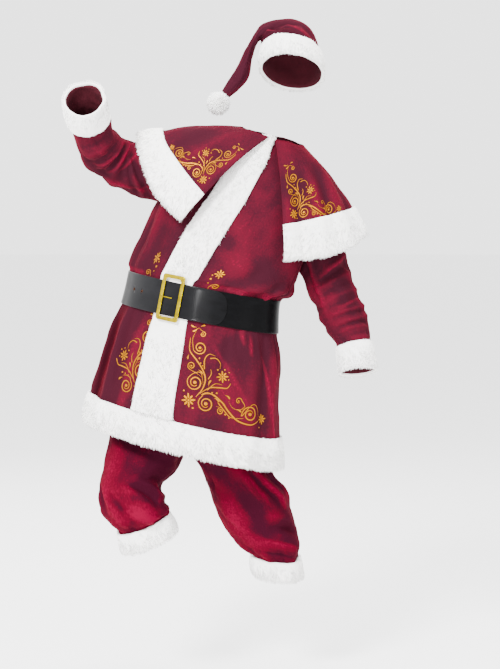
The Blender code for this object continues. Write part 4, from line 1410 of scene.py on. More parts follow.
# ---------------------------------------------------------------- coat
PLACKET_HALF = 0.036     # half the centre front band, in turns
SEAM_HALF = 0.00025      # half the gap between two panels, in turns


def pressed(v: Array) -> Array:
    """How far the plush stands up at a row of the coat: 0 under the belt and 1 away from it."""
    top, base = level(COAT, "belt_top"), level(COAT, "belt_base")
    away = np.maximum(np.maximum((top - 0.4 - v) / 1.6, v - base - 0.15), 0.0)
    part = np.minimum(away, 1.0)
    return part * part * (3 - 2 * part)


@dataclass
class Coat:
    """The coat's back and two fronts, its plush bands and its print."""

    looks: Looks
    columns: int = 232
    rows: int = 148
    back_flat: tuple[float, float, float] = (0.86, 0.94, 0.66)
    front_flat: tuple[float, float, float] = (0.48, 0.94, 0.34)
    placket_tufts: int = 7000
    hem_tufts: int = 14500
    cloth: Tube = field(init=False)

    def __post_init__(self) -> None:
        """Lay out the coat's surface with its folds."""
        self.cloth = Tube(COAT, self.folds())
        self.cloth.painted_light = self.painted_light_patches()

    def folds(self) -> tuple[Crease | Unevenness, ...]:
        """The folds, pleats and gathers of the coat."""
        big = creases(
            (0.893, 8.8, 0.897, 13.6, 0.02, 0.012, 0.0, 0.45), (0.85, 8.8, 0.846, 13.6, 0.03, -0.011),
            (0.8, 9.0, 0.792, 13.6, 0.03, 0.006, 0.01), (0.125, 8.9, 0.105, 10.6, 0.014, -0.006),
            (0.17, 8.9, 0.165, 13.5, 0.024, 0.008, 0.012), (0.203, 8.9, 0.208, 13.4, 0.02, -0.006),
            (0.235, 9.0, 0.238, 13.6, 0.022, 0.006), (0.31, 9.2, 0.315, 13.4, 0.032, 0.006),
            (0.355, 8.9, 0.35, 13.6, 0.024, -0.007), (0.4, 9.0, 0.405, 13.6, 0.032, 0.01, 0.01),
            (0.452, 9.0, 0.447, 13.2, 0.026, -0.007), (0.52, 9.2, 0.515, 13.6, 0.036, -0.009),
            (0.57, 8.9, 0.578, 13.6, 0.028, 0.007), (0.64, 9.0, 0.645, 13.6, 0.032, 0.01, -0.01),
            (0.69, 8.9, 0.686, 13.2, 0.026, -0.008), (0.735, 9.0, 0.738, 13.6, 0.028, 0.006),
        )
        blouse = creases(
            (0.9, 5.3, 0.925, 8.2, 0.02, -0.006, 0.006), (0.862, 4.6, 0.895, 8.2, 0.012, 0.005, 0.004),
            (0.835, 4.8, 0.868, 8.2, 0.013, -0.005), (0.806, 5.0, 0.838, 8.2, 0.012, 0.005, -0.004),
            (0.78, 5.4, 0.806, 8.2, 0.014, -0.005), (0.75, 5.6, 0.77, 8.2, 0.016, 0.004),
            (0.18, 6.0, 0.12, 8.2, 0.022, 0.006, 0.01), (0.215, 5.9, 0.16, 8.2, 0.016, -0.005, 0.008),
            (0.24, 6.2, 0.196, 8.2, 0.014, 0.005), (0.15, 5.6, 0.08, 7.7, 0.018, -0.004, 0.008),
            (0.06, 4.5, 0.11, 7.4, 0.024, 0.004, 0.012), (0.205, 7.2, 0.12, 7.7, 0.01, -0.0035, 0.006),
            (0.3, 6.0, 0.29, 8.2, 0.02, 0.006), (0.35, 5.6, 0.345, 8.2, 0.018, -0.006),
            (0.4, 5.8, 0.41, 8.2, 0.022, 0.006), (0.46, 5.6, 0.455, 8.2, 0.018, -0.005),
            (0.53, 5.8, 0.52, 8.2, 0.022, 0.006), (0.59, 5.4, 0.6, 8.2, 0.018, -0.006),
            (0.65, 5.8, 0.64, 8.2, 0.02, 0.006), (0.7, 5.6, 0.706, 8.2, 0.018, -0.005),
            (0.36, 3.0, 0.64, 3.2, 0.03, -0.004, 0.02), (0.4, 4.4, 0.6, 4.5, 0.022, 0.004, -0.02),
        )
        gathers = tuple(Crease(u, 8.85, u + lean, 8.85 + long, width, height)
                        for u, lean, long, width, height in (
            (0.064, 0.004, 0.55, 0.006, -0.0022), (0.083, -0.004, 0.80, 0.007, 0.0024),
            (0.140, -0.006, 1.10, 0.007, -0.0034), (0.152, 0.006, 0.90, 0.006, 0.0030),
            (0.186, 0.010, 1.70, 0.007, 0.0034), (0.214, -0.006, 1.00, 0.008, -0.0030),
            (0.262, 0.004, 1.30, 0.010, 0.0034), (0.286, -0.004, 0.90, 0.008, -0.0030),
            (0.334, 0.006, 1.10, 0.009, 0.0032), (0.378, 0.000, 1.40, 0.010, -0.0036),
            (0.426, 0.004, 0.90, 0.009, 0.0030), (0.476, -0.004, 1.20, 0.009, 0.0034),
            (0.498, 0.004, 0.80, 0.008, -0.0028), (0.548, 0.002, 1.10, 0.010, -0.0034),
            (0.604, -0.004, 1.40, 0.010, 0.0036), (0.620, 0.004, 0.80, 0.008, -0.0028),
            (0.664, 0.003, 1.20, 0.010, -0.0032), (0.714, 0.000, 1.00, 0.009, 0.0032),
            (0.764, 0.004, 1.40, 0.009, -0.0034), (0.820, -0.004, 1.10, 0.008, 0.0030),
            (0.930, 0.002, 0.70, 0.006, -0.0024)))
        puffs = tuple(Crease(u, 8.1, u + lean, 8.1 - long, width, height)
                      for u, lean, long, width, height in (
            (0.052, 0.002, 0.9, 0.007, -0.0022), (0.072, 0.008, 1.3, 0.008, 0.0028),
            (0.098, 0.006, 0.9, 0.007, -0.0026), (0.134, 0.010, 1.2, 0.008, 0.0030),
            (0.176, 0.012, 0.9, 0.008, -0.0030), (0.226, 0.006, 1.1, 0.009, -0.0030),
            (0.262, 0.002, 1.5, 0.010, 0.0034), (0.322, -0.004, 1.1, 0.010, -0.0032),
            (0.374, 0.004, 1.4, 0.010, 0.0032), (0.432, 0.000, 1.0, 0.009, -0.0030),
            (0.492, -0.004, 1.3, 0.010, 0.0034), (0.560, 0.004, 1.0, 0.009, -0.0030),
            (0.620, 0.000, 1.4, 0.010, 0.0032), (0.676, 0.004, 1.0, 0.009, -0.0030),
            (0.728, -0.004, 1.3, 0.009, 0.0030), (0.792, -0.006, 1.2, 0.008, -0.0028),
            (0.850, -0.008, 1.0, 0.007, 0.0028), (0.918, -0.006, 0.8, 0.007, -0.0024)))
        seams = creases((0.25, -1, 0.25, 15, 0.003, -0.0012), (0.75, -1, 0.75, 15, 0.003, -0.0012))
        return big + blouse + gathers + puffs + seams + (Unevenness(0.0013, 0.11, 3),
                                                         Unevenness(0.0005, 0.035, 4))

    def painted_light_patches(self) -> tuple[Crease, ...]:
        """Where the coat's velvet gets painted sheen (+) or painted shade (-)."""
        return creases(
            (0.856, 8.3, 0.85, 14.8, 0.08, -3.4), (0.944, 8.9, 0.937, 13.8, 0.016, 1.0),
            (0.175, 8.4, 0.195, 12.0, 0.055, -0.8), (0.085, 9.8, 0.165, 12.6, 0.03, 0.6),
            (0.088, 9.7, 0.176, 11.1, 0.005, 0.9), (0.17, 9.1, 0.166, 9.9, 0.005, 1.6),
            (0.194, 9.7, 0.232, 11.0, 0.005, 1.6, 0.004), (0.232, 10.6, 0.246, 13.0, 0.005, 1.4),
            (0.145, 8.95, 0.152, 9.6, 0.005, 1.1), (0.21, 11.4, 0.2, 13.3, 0.007, 0.7),
            (0.04, 7.8, 0.27, 7.9, 0.011, 1.0, 0.004), (0.12, 5.2, 0.2, 7.2, 0.045, -0.7),
            (0.86, 5.4, 0.86, 7.9, 0.06, -0.8), (0.82, 7.7, 0.93, 7.9, 0.01, 0.8),
            (0.4, 5.0, 0.42, 8.0, 0.07, -0.8), (0.58, 3.0, 0.56, 7.0, 0.08, 0.6),
            (0.34, 8.9, 0.36, 13.6, 0.07, -0.9), (0.52, 9.2, 0.5, 13.9, 0.06, 0.7),
            (0.68, 8.8, 0.69, 13.0, 0.06, -0.8),
        )

    def panel(self, name: str, start: float, stop: float, sleeves: list[Solid]) -> bpy.types.Object:
        """One panel, with the armholes left out.

        Args:
            name: Name of the CAD node that it stands for.
            start: Turn of its first edge.
            stop: Turn of its last edge.
            sleeves: The sleeves' tubes.

        Returns:
            The object.
        """
        end = len(COAT) - 1 - UNDER_BAND
        turns = np.linspace(start + SEAM_HALF, stop - SEAM_HALF, round(self.columns * (stop - start)) + 1)
        rows = np.linspace(0, end, self.rows + 1)
        u, v = np.meshgrid(turns, rows)
        middle = self.cloth.at(u, v)
        depth = np.max([self.inside(one, middle) for one in sleeves], axis=0)
        gone = depth > 0
        keep = ~(gone[:-1, :-1] & gone[1:, :-1] & gone[:-1, 1:] & gone[1:, 1:])

        def fit(points: Array) -> Array:
            """Edge points of an armhole, moved to the sleeve."""
            fitted = points.copy()
            for one in sleeves:
                near = self.inside(one, points)
                edge = (near > 0) & (near < ARMHOLE_EDGE)
                if edge.any():
                    fitted[edge] = one.nearest(points[edge])
            return fitted

        made = cloth_piece(name + "_cloth", self.cloth, u, v, False, [self.looks.coat, self.looks.lining],
                           keep, fit)
        return declare(made, name)

    def inside(self, sleeve: Solid, points: Array) -> Array:
        """How deep points are inside a sleeve's tube; 0 for points that are far off."""
        depth = np.full(points.shape[:-1], -1.0)
        low, high = sleeve.corners
        near = ((points > low - NEAR) & (points < high + NEAR)).all(axis=-1)
        depth[near] = sleeve.depth(points[near])
        return np.where(depth > TOO_DEEP, -1.0, depth)

    def placket(self) -> bpy.types.Object:
        """The plush band down the centre front."""
        def profile(u: Array, v: Array) -> Array:
            """Height of its body: pressed under the belt, and lower at its two long edges."""
            aside = np.abs((u + 0.5) % 1 - 0.5) / PLACKET_HALF
            return (0.003 + (PLUSH - 0.003) * pressed(v)) * (1 - 0.5 * aside ** 4)

        top, base = level(COAT, "belt_top"), level(COAT, "belt_base")
        band = PlushBand(self.cloth, 0.3, level(COAT, "band_top") - 0.02, (-PLACKET_HALF, PLACKET_HALF),
                         False, self.placket_tufts, 11, profile=profile, length=0.016, lean=0.12,
                         bare=(top - 0.45, base + 0.06), cell=0.005)
        return declare(band.build("coat_placket_plush", self.looks), "coat_placket")

    def hem(self) -> bpy.types.Object:
        """The plush band round the hem."""
        band = PlushBand(self.cloth, level(COAT, "band_top"), level(COAT, "hem"), (0.0, 1.0), True,
                         self.hem_tufts, 12, length=0.017, lean=0.40)
        return declare(band.build("coat_hem_plush", self.looks), "coat_hem_band")

    def prints(self) -> dict[str, list[bpy.types.Object]]:
        """The scrolls on the two fronts.

        Returns:
            For each front the printed pieces on it.
        """
        corner, belt = float(level(COAT, "band_top")), float(level(COAT, "belt_top"))
        lines = {
            "left_skirt": (Ground(self.cloth, PLACKET_HALF, corner, 1), Motif().strokes()),
            "right_skirt": (Ground(self.cloth, -0.008, corner, -1), Motif(far=False).strokes()),
            "left_waist": (Ground(self.cloth, PLACKET_HALF, belt, 1), Motif().bud()),
            "right_waist": (Ground(self.cloth, -PLACKET_HALF, belt, -1), Motif().bud()),
        }
        made: dict[str, list[bpy.types.Object]] = {"left": [], "right": []}
        for name, (ground, strokes) in lines.items():
            piece = print_strokes("coat_print_" + name, ground, strokes, self.looks)
            made[name.split("_")[0]].append(declare(piece))
        return made

    def build(self, sleeves: list[Solid]) -> None:
        """Make and declare every piece of the coat.

        Args:
            sleeves: The sleeves' tubes, for the armholes.
        """
        prints = self.prints()
        placket, hem = self.placket(), self.hem()
        back = self.panel("coat_back", 0.25, 0.75, sleeves)
        left = self.panel("coat_front_left", 0.0, 0.25, sleeves)
        right = self.panel("coat_front_right", 0.75, 1.0, sleeves)
        wide, long, area = self.back_flat
        wide, long, area = self.front_flat
        [placket] + prints["left"]
        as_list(prints["right"])


# ---------------------------------------------------------------- sleeves
@dataclass
class Sleeve:
    """A sleeve set in at its armhole, with its plush cuff."""

    looks: Looks
    side: str
    sections: tuple[Section, ...]
    reliefs: tuple[Crease | Unevenness, ...]
    painted_light: tuple[Crease, ...]
    flat: tuple[float, float, float]
    columns: int = 88
    rows: int = 100
    start_turn: float = 0.5
    cuff_tufts: int = 3300
    cloth: Tube = field(init=False)

    def __post_init__(self) -> None:
        """Lay out the sleeve's surface."""
        self.cloth = Tube(self.sections, self.reliefs)
        self.cloth.painted_light = self.painted_light

    def solid(self) -> Solid:
        """The sleeve as a body, for its armhole."""
        return Solid(self.cloth, self.columns, 8)

    def starts(self, coat: Solid, turns: Array) -> Array:
        """Row at which each line along the sleeve leaves the coat.

        Args:
            coat: The coat's body.
            turns: Turns of the lines.

        Returns:
            Rows.
        """
        rows = np.linspace(0, 4, 81)
        depth = coat.depth(self.cloth.at(turns[None, :], rows[:, None]))
        found = []
        for line in depth.T:
            last = int(np.max(np.nonzero(line > 0)[0], initial=0))
            near, far = line[last], line[last + 1]
            found.append(rows[last] + (rows[1] - rows[0]) * float(near / (near - far)))
        return np.array(found)

    def build(self, coat: Solid) -> None:
        """Args:
            coat: The coat's body.
        """
        turns = self.start_turn + np.arange(self.columns) / self.columns
        start = self.starts(coat, turns)
        end = len(self.sections) - 1 - UNDER_BAND
        part = np.linspace(0, 1, self.rows + 1)[:, None]
        u = np.broadcast_to(turns[None, :], (self.rows + 1, self.columns))
        v = start[None, :] + (end - start[None, :]) * part
        way = self.cloth.length(v) - self.cloth.length(start)[None, :]
        head = -0.0016 * np.exp(-(way / 0.004) ** 2) + 0.0022 * np.exp(-((way - 0.018) / 0.011) ** 2)
        sleeve = cloth_piece(f"sleeve_{self.side}_cloth", self.cloth, u, v, True,
                             [self.looks.coat, self.looks.lining], lift=head)
        band = PlushBand(self.cloth, level(self.sections, "band_top"), level(self.sections, "mouth"),
                         (0.0, 1.0), True, self.cuff_tufts, 20 + len(self.sections), length=0.015)
        cuff = band.build(f"sleeve_cuff_{self.side}_plush", self.looks)
        declare(sleeve, "sleeve_" + self.side)
        declare(cuff, "sleeve_cuff_" + self.side)
        wide, long, area = self.flat


RIGHT_ARM_FOLDS = creases(
    (0.02, 1.5, 0.25, 4.5, 0.02, -0.008, 0.006), (0.1, 3.5, 0.2, 7.5, 0.018, -0.007),
    (0.55, 2.5, 0.75, 6.0, 0.022, -0.008), (0.82, 4.2, 1.2, 1.7, 0.007, 0.0065, 0.006),
    (0.9, 4.1, 1.22, 2.0, 0.007, -0.0065, 0.004), (0.95, 4.0, 1.22, 2.4, 0.006, 0.0055, 0.006),
    (0.8, 3.6, 1.14, 1.6, 0.006, -0.006, 0.004), (0.78, 2.9, 1.05, 1.3, 0.008, 0.005),
    (1.0, 3.9, 1.24, 2.9, 0.006, -0.005), (0.88, 4.6, 1.22, 4.5, 0.012, 0.0055, -0.008),
    (0.78, 5.0, 1.18, 5.4, 0.009, -0.0065, 0.006), (0.8, 5.6, 1.22, 5.9, 0.009, 0.0055, 0.006),
    (0.84, 6.5, 1.24, 6.3, 0.008, -0.006, 0.004), (0.86, 7.0, 1.2, 6.8, 0.007, 0.0045),
    (0.9, 7.5, 1.16, 7.3, 0.006, -0.0035), (0.94, 5.2, 1.02, 7.6, 0.008, 0.0035, 0.004),
    (0.2, 4.2, 0.42, 5.2, 0.014, 0.0065, 0.008), (0.18, 4.8, 0.44, 5.9, 0.01, -0.006, 0.006),
    (0.22, 5.6, 0.4, 6.6, 0.012, 0.0055), (0.62, 1.4, 0.8, 3.4, 0.014, 0.0055),
    (0.68, 3.0, 0.84, 4.6, 0.012, -0.005), (0.4, 1.6, 0.58, 4.0, 0.016, 0.006, 0.008),
    (0.44, 5.6, 0.64, 7.8, 0.012, -0.0055), (0.6, 6.4, 0.78, 8.2, 0.01, 0.0045),
    (0.3, 6.8, 0.38, 8.2, 0.008, -0.0035), (0.72, 7.2, 0.76, 8.2, 0.007, 0.003),
    (0.5, 0.5, 0.5, 9.5, 0.0035, -0.001),
) + (Unevenness(0.0015, 0.07, 7), Unevenness(0.0006, 0.026, 8))
LEFT_ARM_FOLDS = creases(
    (0.02, 1.5, 0.25, 4.5, 0.02, -0.008, 0.006), (0.1, 3.5, 0.2, 7.5, 0.018, -0.007),
    (0.55, 2.5, 0.75, 6.0, 0.022, -0.008), (0.9, 1.2, 0.9, 4.8, 0.006, 0.006, 0.003),
    (0.87, 1.4, 0.87, 4.9, 0.005, -0.0055, 0.003), (0.81, 1.8, 0.82, 4.4, 0.009, 0.004),
    (0.96, 3.55, 1.28, 3.2, 0.0065, 0.005, 0.004), (0.92, 3.95, 1.28, 3.55, 0.0055, -0.0045, 0.004),
    (0.88, 4.3, 1.29, 3.9, 0.0065, 0.0055, 0.005), (0.86, 4.6, 1.29, 4.22, 0.0055, -0.005, 0.005),
    (0.84, 4.9, 1.3, 4.55, 0.0065, 0.006, 0.006), (0.88, 5.15, 1.3, 4.85, 0.005, -0.005, 0.005),
    (0.9, 5.45, 1.29, 5.12, 0.006, 0.0055, -0.006), (0.86, 5.65, 1.28, 5.42, 0.005, -0.0045, -0.004),
    (0.9, 5.95, 1.28, 5.7, 0.0055, 0.005, -0.005), (0.9, 6.2, 1.24, 6.02, 0.005, -0.0045),
    (0.86, 6.45, 1.26, 6.32, 0.0055, 0.0045, 0.003), (0.92, 6.7, 1.2, 6.62, 0.0045, -0.0035),
    (0.66, 4.4, 0.88, 5.0, 0.012, -0.0045, -0.006), (0.64, 5.0, 0.84, 5.5, 0.01, 0.0045, -0.004),
    (0.62, 5.6, 0.82, 6.0, 0.009, -0.004), (0.34, 2.0, 0.46, 5.0, 0.014, 0.0055, 0.006),
    (0.44, 3.6, 0.62, 4.6, 0.012, 0.005), (0.4, 5.2, 0.58, 5.9, 0.01, -0.0045),
    (0.3, 6.3, 0.33, 7.2, 0.008, 0.003), (0.7, 1.3, 0.8, 3.6, 0.014, 0.005),
    (0.5, 0.5, 0.5, 9.5, 0.0035, -0.001),
) + (Unevenness(0.0015, 0.07, 17), Unevenness(0.0006, 0.026, 18))
# Painted sheen (+) and painted shade (-) on the right sleeve's velvet.
RIGHT_ARM_PAINTED_LIGHT = creases(
    (0.0, 2.4, 0.08, 6.6, 0.02, -1.0), (-0.12, 3.2, 0.06, 4.6, 0.005, 1.4, 0.004),
    (-0.18, 4.4, 0.15, 5.2, 0.005, 1.2, 0.005), (0.12, 2.0, 0.18, 5.0, 0.01, 1.2, 0.004),
    (-0.06, 5.6, 0.18, 6.2, 0.005, 1.2, 0.003), (-0.2, 2.2, -0.16, 6.0, 0.012, 0.6),
    (0.02, 1.4, 0.14, 3.2, 0.005, 1.2, 0.004), (0.4, 3.0, 0.42, 8.0, 0.03, -0.8),
    (0.6, 2.0, 0.62, 6.0, 0.024, 0.7),
)
# Painted sheen (+) and painted shade (-) on the left sleeve's velvet.
LEFT_ARM_PAINTED_LIGHT = creases(
    (0.06, 1.6, 0.06, 6.8, 0.022, -0.5), (-0.12, 2.0, -0.11, 6.4, 0.012, 0.6),
    (0.17, 2.6, 0.19, 6.2, 0.01, 0.6), (-0.06, 3.8, 0.2, 3.3, 0.005, 1.1, 0.004),
    (-0.02, 5.3, 0.22, 4.9, 0.005, 1.1, 0.004), (0.4, 2.0, 0.42, 6.5, 0.03, -0.8),
    (0.6, 2.0, 0.58, 6.0, 0.024, 0.7),
)


# ---------------------------------------------------------------- cape
@dataclass
class Cape:
    """The shoulder cape, open at the front, with its plush edge and its corner scrolls."""

    looks: Looks
    flat: tuple[float, float, float] = (1.06, 0.53, 0.41)
    columns: int = 196
    rows: int = 58
    gap: float = 0.0062
    tufts: int = 9000
    cloth: Lattice = field(init=False)
    scale: float = field(init=False)      # rows of its table for each row of the settled cape
    rough_gap: float = 0.0085             # its distance from what it lies on, before its folds are laid

    def ribs(self) -> Array:
        """Points down each of the cape's ribs, on the rows of its table."""
        places = np.linspace(0, len(CAPE) - 1, CAPE_COLUMNS)
        rib = spline(np.array(CAPE), places).reshape(CAPE_COLUMNS, 3, 3)
        rows, bend = [], CAPE_BEND
        for v in CAPE_STATIONS:
            shares = ((1 - v / bend) * (1 - v), v * (1 - v) / (bend * (1 - bend)),
                      v * (v - bend) / (1 - bend))
            rows.append(sum(share * rib[:, k] for k, share in enumerate(shares)))
        return np.array(rows)

    def folds(self) -> tuple[Crease | Unevenness, ...]:
        """The cape's soft folds, which fan out from the neck."""
        return tuple(Crease(u, top, u + lean, 8.6, width, height, bow)
                     for u, top, lean, width, height, bow in (
            (0.020, 3.6, 0.000, 0.010, 0.0060, 0.002), (0.052, 3.0, -0.004, 0.012, -0.0085, 0.004),
            (0.096, 2.0, 0.006, 0.014, 0.0085, 0.004), (0.138, 1.8, 0.004, 0.013, -0.0075, -0.003),
            (0.172, 2.4, 0.004, 0.013, 0.0075, -0.004), (0.210, 2.8, 0.006, 0.014, -0.0060, 0.0),
            (0.262, 3.6, 0.000, 0.018, 0.0040, 0.0), (0.318, 2.0, -0.004, 0.020, -0.0060, 0.006),
            (0.365, 1.6, 0.004, 0.018, 0.0070, -0.004), (0.420, 2.2, 0.000, 0.022, -0.0070, 0.004),
            (0.475, 1.4, 0.006, 0.020, 0.0070, 0.004), (0.530, 2.0, -0.004, 0.022, -0.0070, -0.004),
            (0.590, 1.5, 0.004, 0.020, 0.0065, 0.004), (0.645, 2.6, 0.000, 0.018, -0.0055, 0.0),
            (0.700, 3.2, 0.004, 0.018, 0.0040, 0.0), (0.792, 3.6, 0.000, 0.016, 0.0035, 0.0),
            (0.852, 2.0, -0.004, 0.014, -0.0045, 0.003), (0.893, 1.2, -0.002, 0.010, 0.0045, 0.002),
            (0.935, 1.5, 0.002, 0.012, -0.0040, 0.003), (0.972, 1.8, 0.004, 0.012, 0.0035, 0.0))
        ) + (Crease(-0.2, 0.14, 1.2, 0.14, 0.0040, 0.0016), Unevenness(0.0010, 0.09, 31),
             Unevenness(0.0004, 0.03, 32))

    def settle(self, bodies: list[Solid]) -> None:
        """Lay the cape on the coat and the sleeves.

        Args:
            bodies: What it lies on.
        """
        grid = self.ribs()
        for body in bodies * 3:
            grid = body.push(grid, self.rough_gap)
        rough = Lattice(grid, False)
        u, v = np.linspace(0, 1, 121), np.linspace(0, rough.rows, 49)
        rough.reliefs = self.folds()
        fine = rough.at(u[None, :], v[:, None])
        for body in bodies * 2:
            fine = body.push(fine, self.gap)
        for _ in range(2):
            fine[1:-1, 1:-1] = (fine[1:-1, 1:-1] * 4 + fine[:-2, 1:-1] + fine[2:, 1:-1] + fine[1:-1, :-2]
                                + fine[1:-1, 2:]) / 8
        self.cloth = Lattice(fine, False)
        self.scale = rough.rows / self.cloth.rows

    def row(self, number: float) -> float:
        """Row of the settled cape for a row of its table."""
        return number / self.scale

    def build(self, bodies: list[Solid]) -> None:
        """Args:
            bodies: What it lies on.
        """
        self.settle(bodies)
        u, v = np.meshgrid(np.linspace(0, 1, self.columns + 1),
                           np.linspace(0, self.row(CAPE_END), self.rows + 1))
        # The cape's painted light: painted highlight on its fold ridges and painted shade in their troughs.
        relief = Lattice(self.ribs(), False, self.folds()).relief(u, v * self.scale)
        cape = cloth_piece("cape_cloth", self.cloth, u, v, False, [self.looks.coat, self.looks.lining],
                           shade=relief / SHADE_RISE)
        band = PlushBand(self.cloth, self.row(CAPE_BAND), self.cloth.rows, (0.0, 1.0), False, self.tufts, 33,
                         length=0.016, lean=0.05).build("cape_plush", self.looks)
        declare(cape, "cape")
        declare(band, "cape_band")
        prints = []
        for name, turn, side in (("left", 0.012, 1), ("right", 0.988, -1)):
            low = float(self.cloth.length(np.array(self.row(CAPE_BAND)))) + 0.020
            ground = Ground(self.cloth, turn, float(self.cloth.row_of(np.array([low]))[0]), side, 0.66)
            piece = print_strokes("cape_print_" + name, ground, Motif().strokes(), self.looks)
            prints.append(declare(piece))
        wide, long, area = self.flat
        [band] + prints


# ---------------------------------------------------------------- trousers
@dataclass
class TrouserLeg:
    """One leg with its half of the seat, blousing over its plush cuff."""

    looks: Looks
    side: str
    sections: tuple[Section, ...]
    reliefs: tuple[Crease | Unevenness, ...]
    painted_light: tuple[Crease, ...]
    flat: tuple[float, float, float] = (0.68, 0.76, 0.44)
    columns: int = 96
    rows: int = 102
    cuff_tufts: int = 3600
    cloth: Lattice = field(init=False)
    above_share: float = 0.34             # how much of its rows lies above the crotch
    middle: Array = field(init=False)     # columns along the middle of the seat, where there is no cloth

    def __post_init__(self) -> None:
        """Lay out the leg's surface: half of the pelvis, then the leg's own rings."""
        way = 1 if self.side == "left" else -1
        outer = self.columns * 3 // 4
        inner = self.columns - outer
        pelvis, leg = Tube(PELVIS), Tube(self.sections)
        loops = []
        for row in range(len(PELVIS)):
            half = pelvis.at(np.linspace(0, 0.5, outer + 1) * way, np.array(float(row)))
            gap = WALL / 2 + TOUCH if row == len(PELVIS) - 1 else TOUCH
            half[0, 0] += way * gap
            half[-1, 0] += way * gap
            part = (np.arange(1, inner) / inner)[:, None]
            loops.append(np.vstack([half, half[-1] + (half[0] - half[-1]) * part]))
        turns = np.concatenate([0.25 - 0.375 + 0.75 * np.arange(outer + 1) / outer,
                                0.625 + 0.25 * np.arange(1, inner) / inner]) * way
        loops += [leg.at(turns, np.array(float(row))) for row in range(len(self.sections))]
        if way < 0:
            loops = [loop[::-1] for loop in loops]
        self.cloth = Lattice(np.array(loops), True, self.reliefs)
        self.cloth.painted_light = self.painted_light
        self.middle = np.zeros(self.columns, bool)
        if way < 0:
            self.middle[:inner - 1] = self.middle[-1] = True
        else:
            self.middle[outer:outer + inner] = True

    def build(self) -> None:
        turns = np.arange(self.columns) / self.columns
        end = self.cloth.rows - UNDER_BAND
        crotch = len(PELVIS) - 1
        above = round(self.rows * self.above_share)
        rows = np.concatenate([np.linspace(0, crotch, above + 1),
                               np.linspace(crotch, end, self.rows - above)[1:]])
        u, v = np.meshgrid(turns, rows)
        keep = ~((v[:-1] < crotch - 1e-6) & self.middle[None, :])
        leg = cloth_piece(f"trouser_leg_{self.side}_cloth", self.cloth, u, v, True,
                          [self.looks.legs, self.looks.lining], keep)
        last = int(self.cloth.rows)
        band = PlushBand(self.cloth, last - 1, last, (0.0, 1.0), True, self.cuff_tufts,
                         40 + last + len(self.side), length=0.016)
        cuff = band.build(f"trouser_cuff_{self.side}_plush", self.looks)
        declare(leg, "trouser_leg_" + self.side)
        declare(cuff, "trouser_cuff_" + self.side)
        wide, long, area = self.flat


# Painted sheen (+) and painted shade (-) on the right trouser leg's velvet.
RIGHT_LEG_PAINTED_LIGHT = creases(
    (-0.01, 2.8, -0.02, 5.9, 0.05, -1.8), (0.715, 3.4, 0.745, 7.4, 0.04, 1.1),
    (0.8, 6.2, 0.98, 7.5, 0.014, 1.2, 0.008), (0.87, 5.6, 0.99, 6.5, 0.01, -1.0, 0.008),
    (0.45, 4.0, 0.47, 7.6, 0.06, -0.9), (0.25, 3.6, 0.23, 7.0, 0.05, 0.7),
)
# Painted sheen (+) and painted shade (-) on the left trouser leg's velvet.
LEFT_LEG_PAINTED_LIGHT = creases(
    (0.035, 4.2, 0.05, 8.1, 0.034, 1.1), (0.28, 5.4, 0.31, 7.7, 0.036, -1.4),
    (-0.09, 3.0, -0.08, 5.2, 0.03, -0.8), (0.25, 3.0, 0.31, 5.0, 0.026, -1.0),
    (0.22, 3.7, 0.29, 5.6, 0.006, 1.3, 0.005), (0.17, 3.6, 0.21, 5.2, 0.005, 1.0, 0.004),
    (0.1, 6.5, 0.31, 7.2, 0.006, 1.2, 0.008), (0.56, 4.0, 0.54, 7.6, 0.06, -0.9),
    (0.7, 4.0, 0.74, 7.4, 0.04, 0.6),
)
RIGHT_LEG_FOLDS = creases(
    (0.05, 3.5, 0.2, 7.2, 0.03, -0.009), (0.85, 4.5, 0.95, 8.0, 0.028, 0.007),
    (0.45, 4.0, 0.55, 8.0, 0.03, -0.008), (0.7, 5.0, 0.8, 7.3, 0.011, 0.0075, 0.006),
    (0.735, 5.3, 0.85, 7.2, 0.01, -0.0085, 0.008), (0.815, 5.1, 0.985, 6.7, 0.01, 0.0075, 0.01),
    (0.845, 5.0, 1.01, 6.3, 0.008, -0.0065, 0.01), (0.875, 4.8, 1.06, 6.0, 0.01, 0.008, 0.012),
    (0.95, 4.6, 1.11, 5.5, 0.012, -0.008, 0.008), (0.64, 4.6, 0.7, 6.6, 0.012, -0.006, 0.006),
    (0.79, 6.6, 0.98, 7.3, 0.009, 0.006, 0.008), (0.3, 4.6, 0.62, 5.6, 0.016, 0.0065, 0.014),
    (0.28, 5.3, 0.6, 6.2, 0.013, -0.0065, 0.012), (0.34, 6.2, 0.66, 6.5, 0.012, 0.0055, 0.008),
    (0.02, 5.8, 0.3, 6.2, 0.012, 0.0055, 0.01), (0.0, 6.5, 0.28, 6.9, 0.012, -0.0055, 0.008),
) + tuple(Crease(u, 6.8, u + lean, 8.1, 0.009, height) for u, lean, height in (
    (0.04, 0.01, 0.0045), (0.12, -0.01, -0.0040), (0.21, 0.01, 0.0045), (0.29, 0.00, -0.0040),
    (0.38, 0.01, 0.0045), (0.46, -0.01, -0.0045), (0.55, 0.01, 0.0045), (0.64, 0.00, -0.0040),
    (0.73, 0.01, 0.0040), (0.82, -0.01, -0.0035), (0.92, 0.01, 0.0040))) + (
    Unevenness(0.0018, 0.09, 51), Unevenness(0.0007, 0.03, 52))
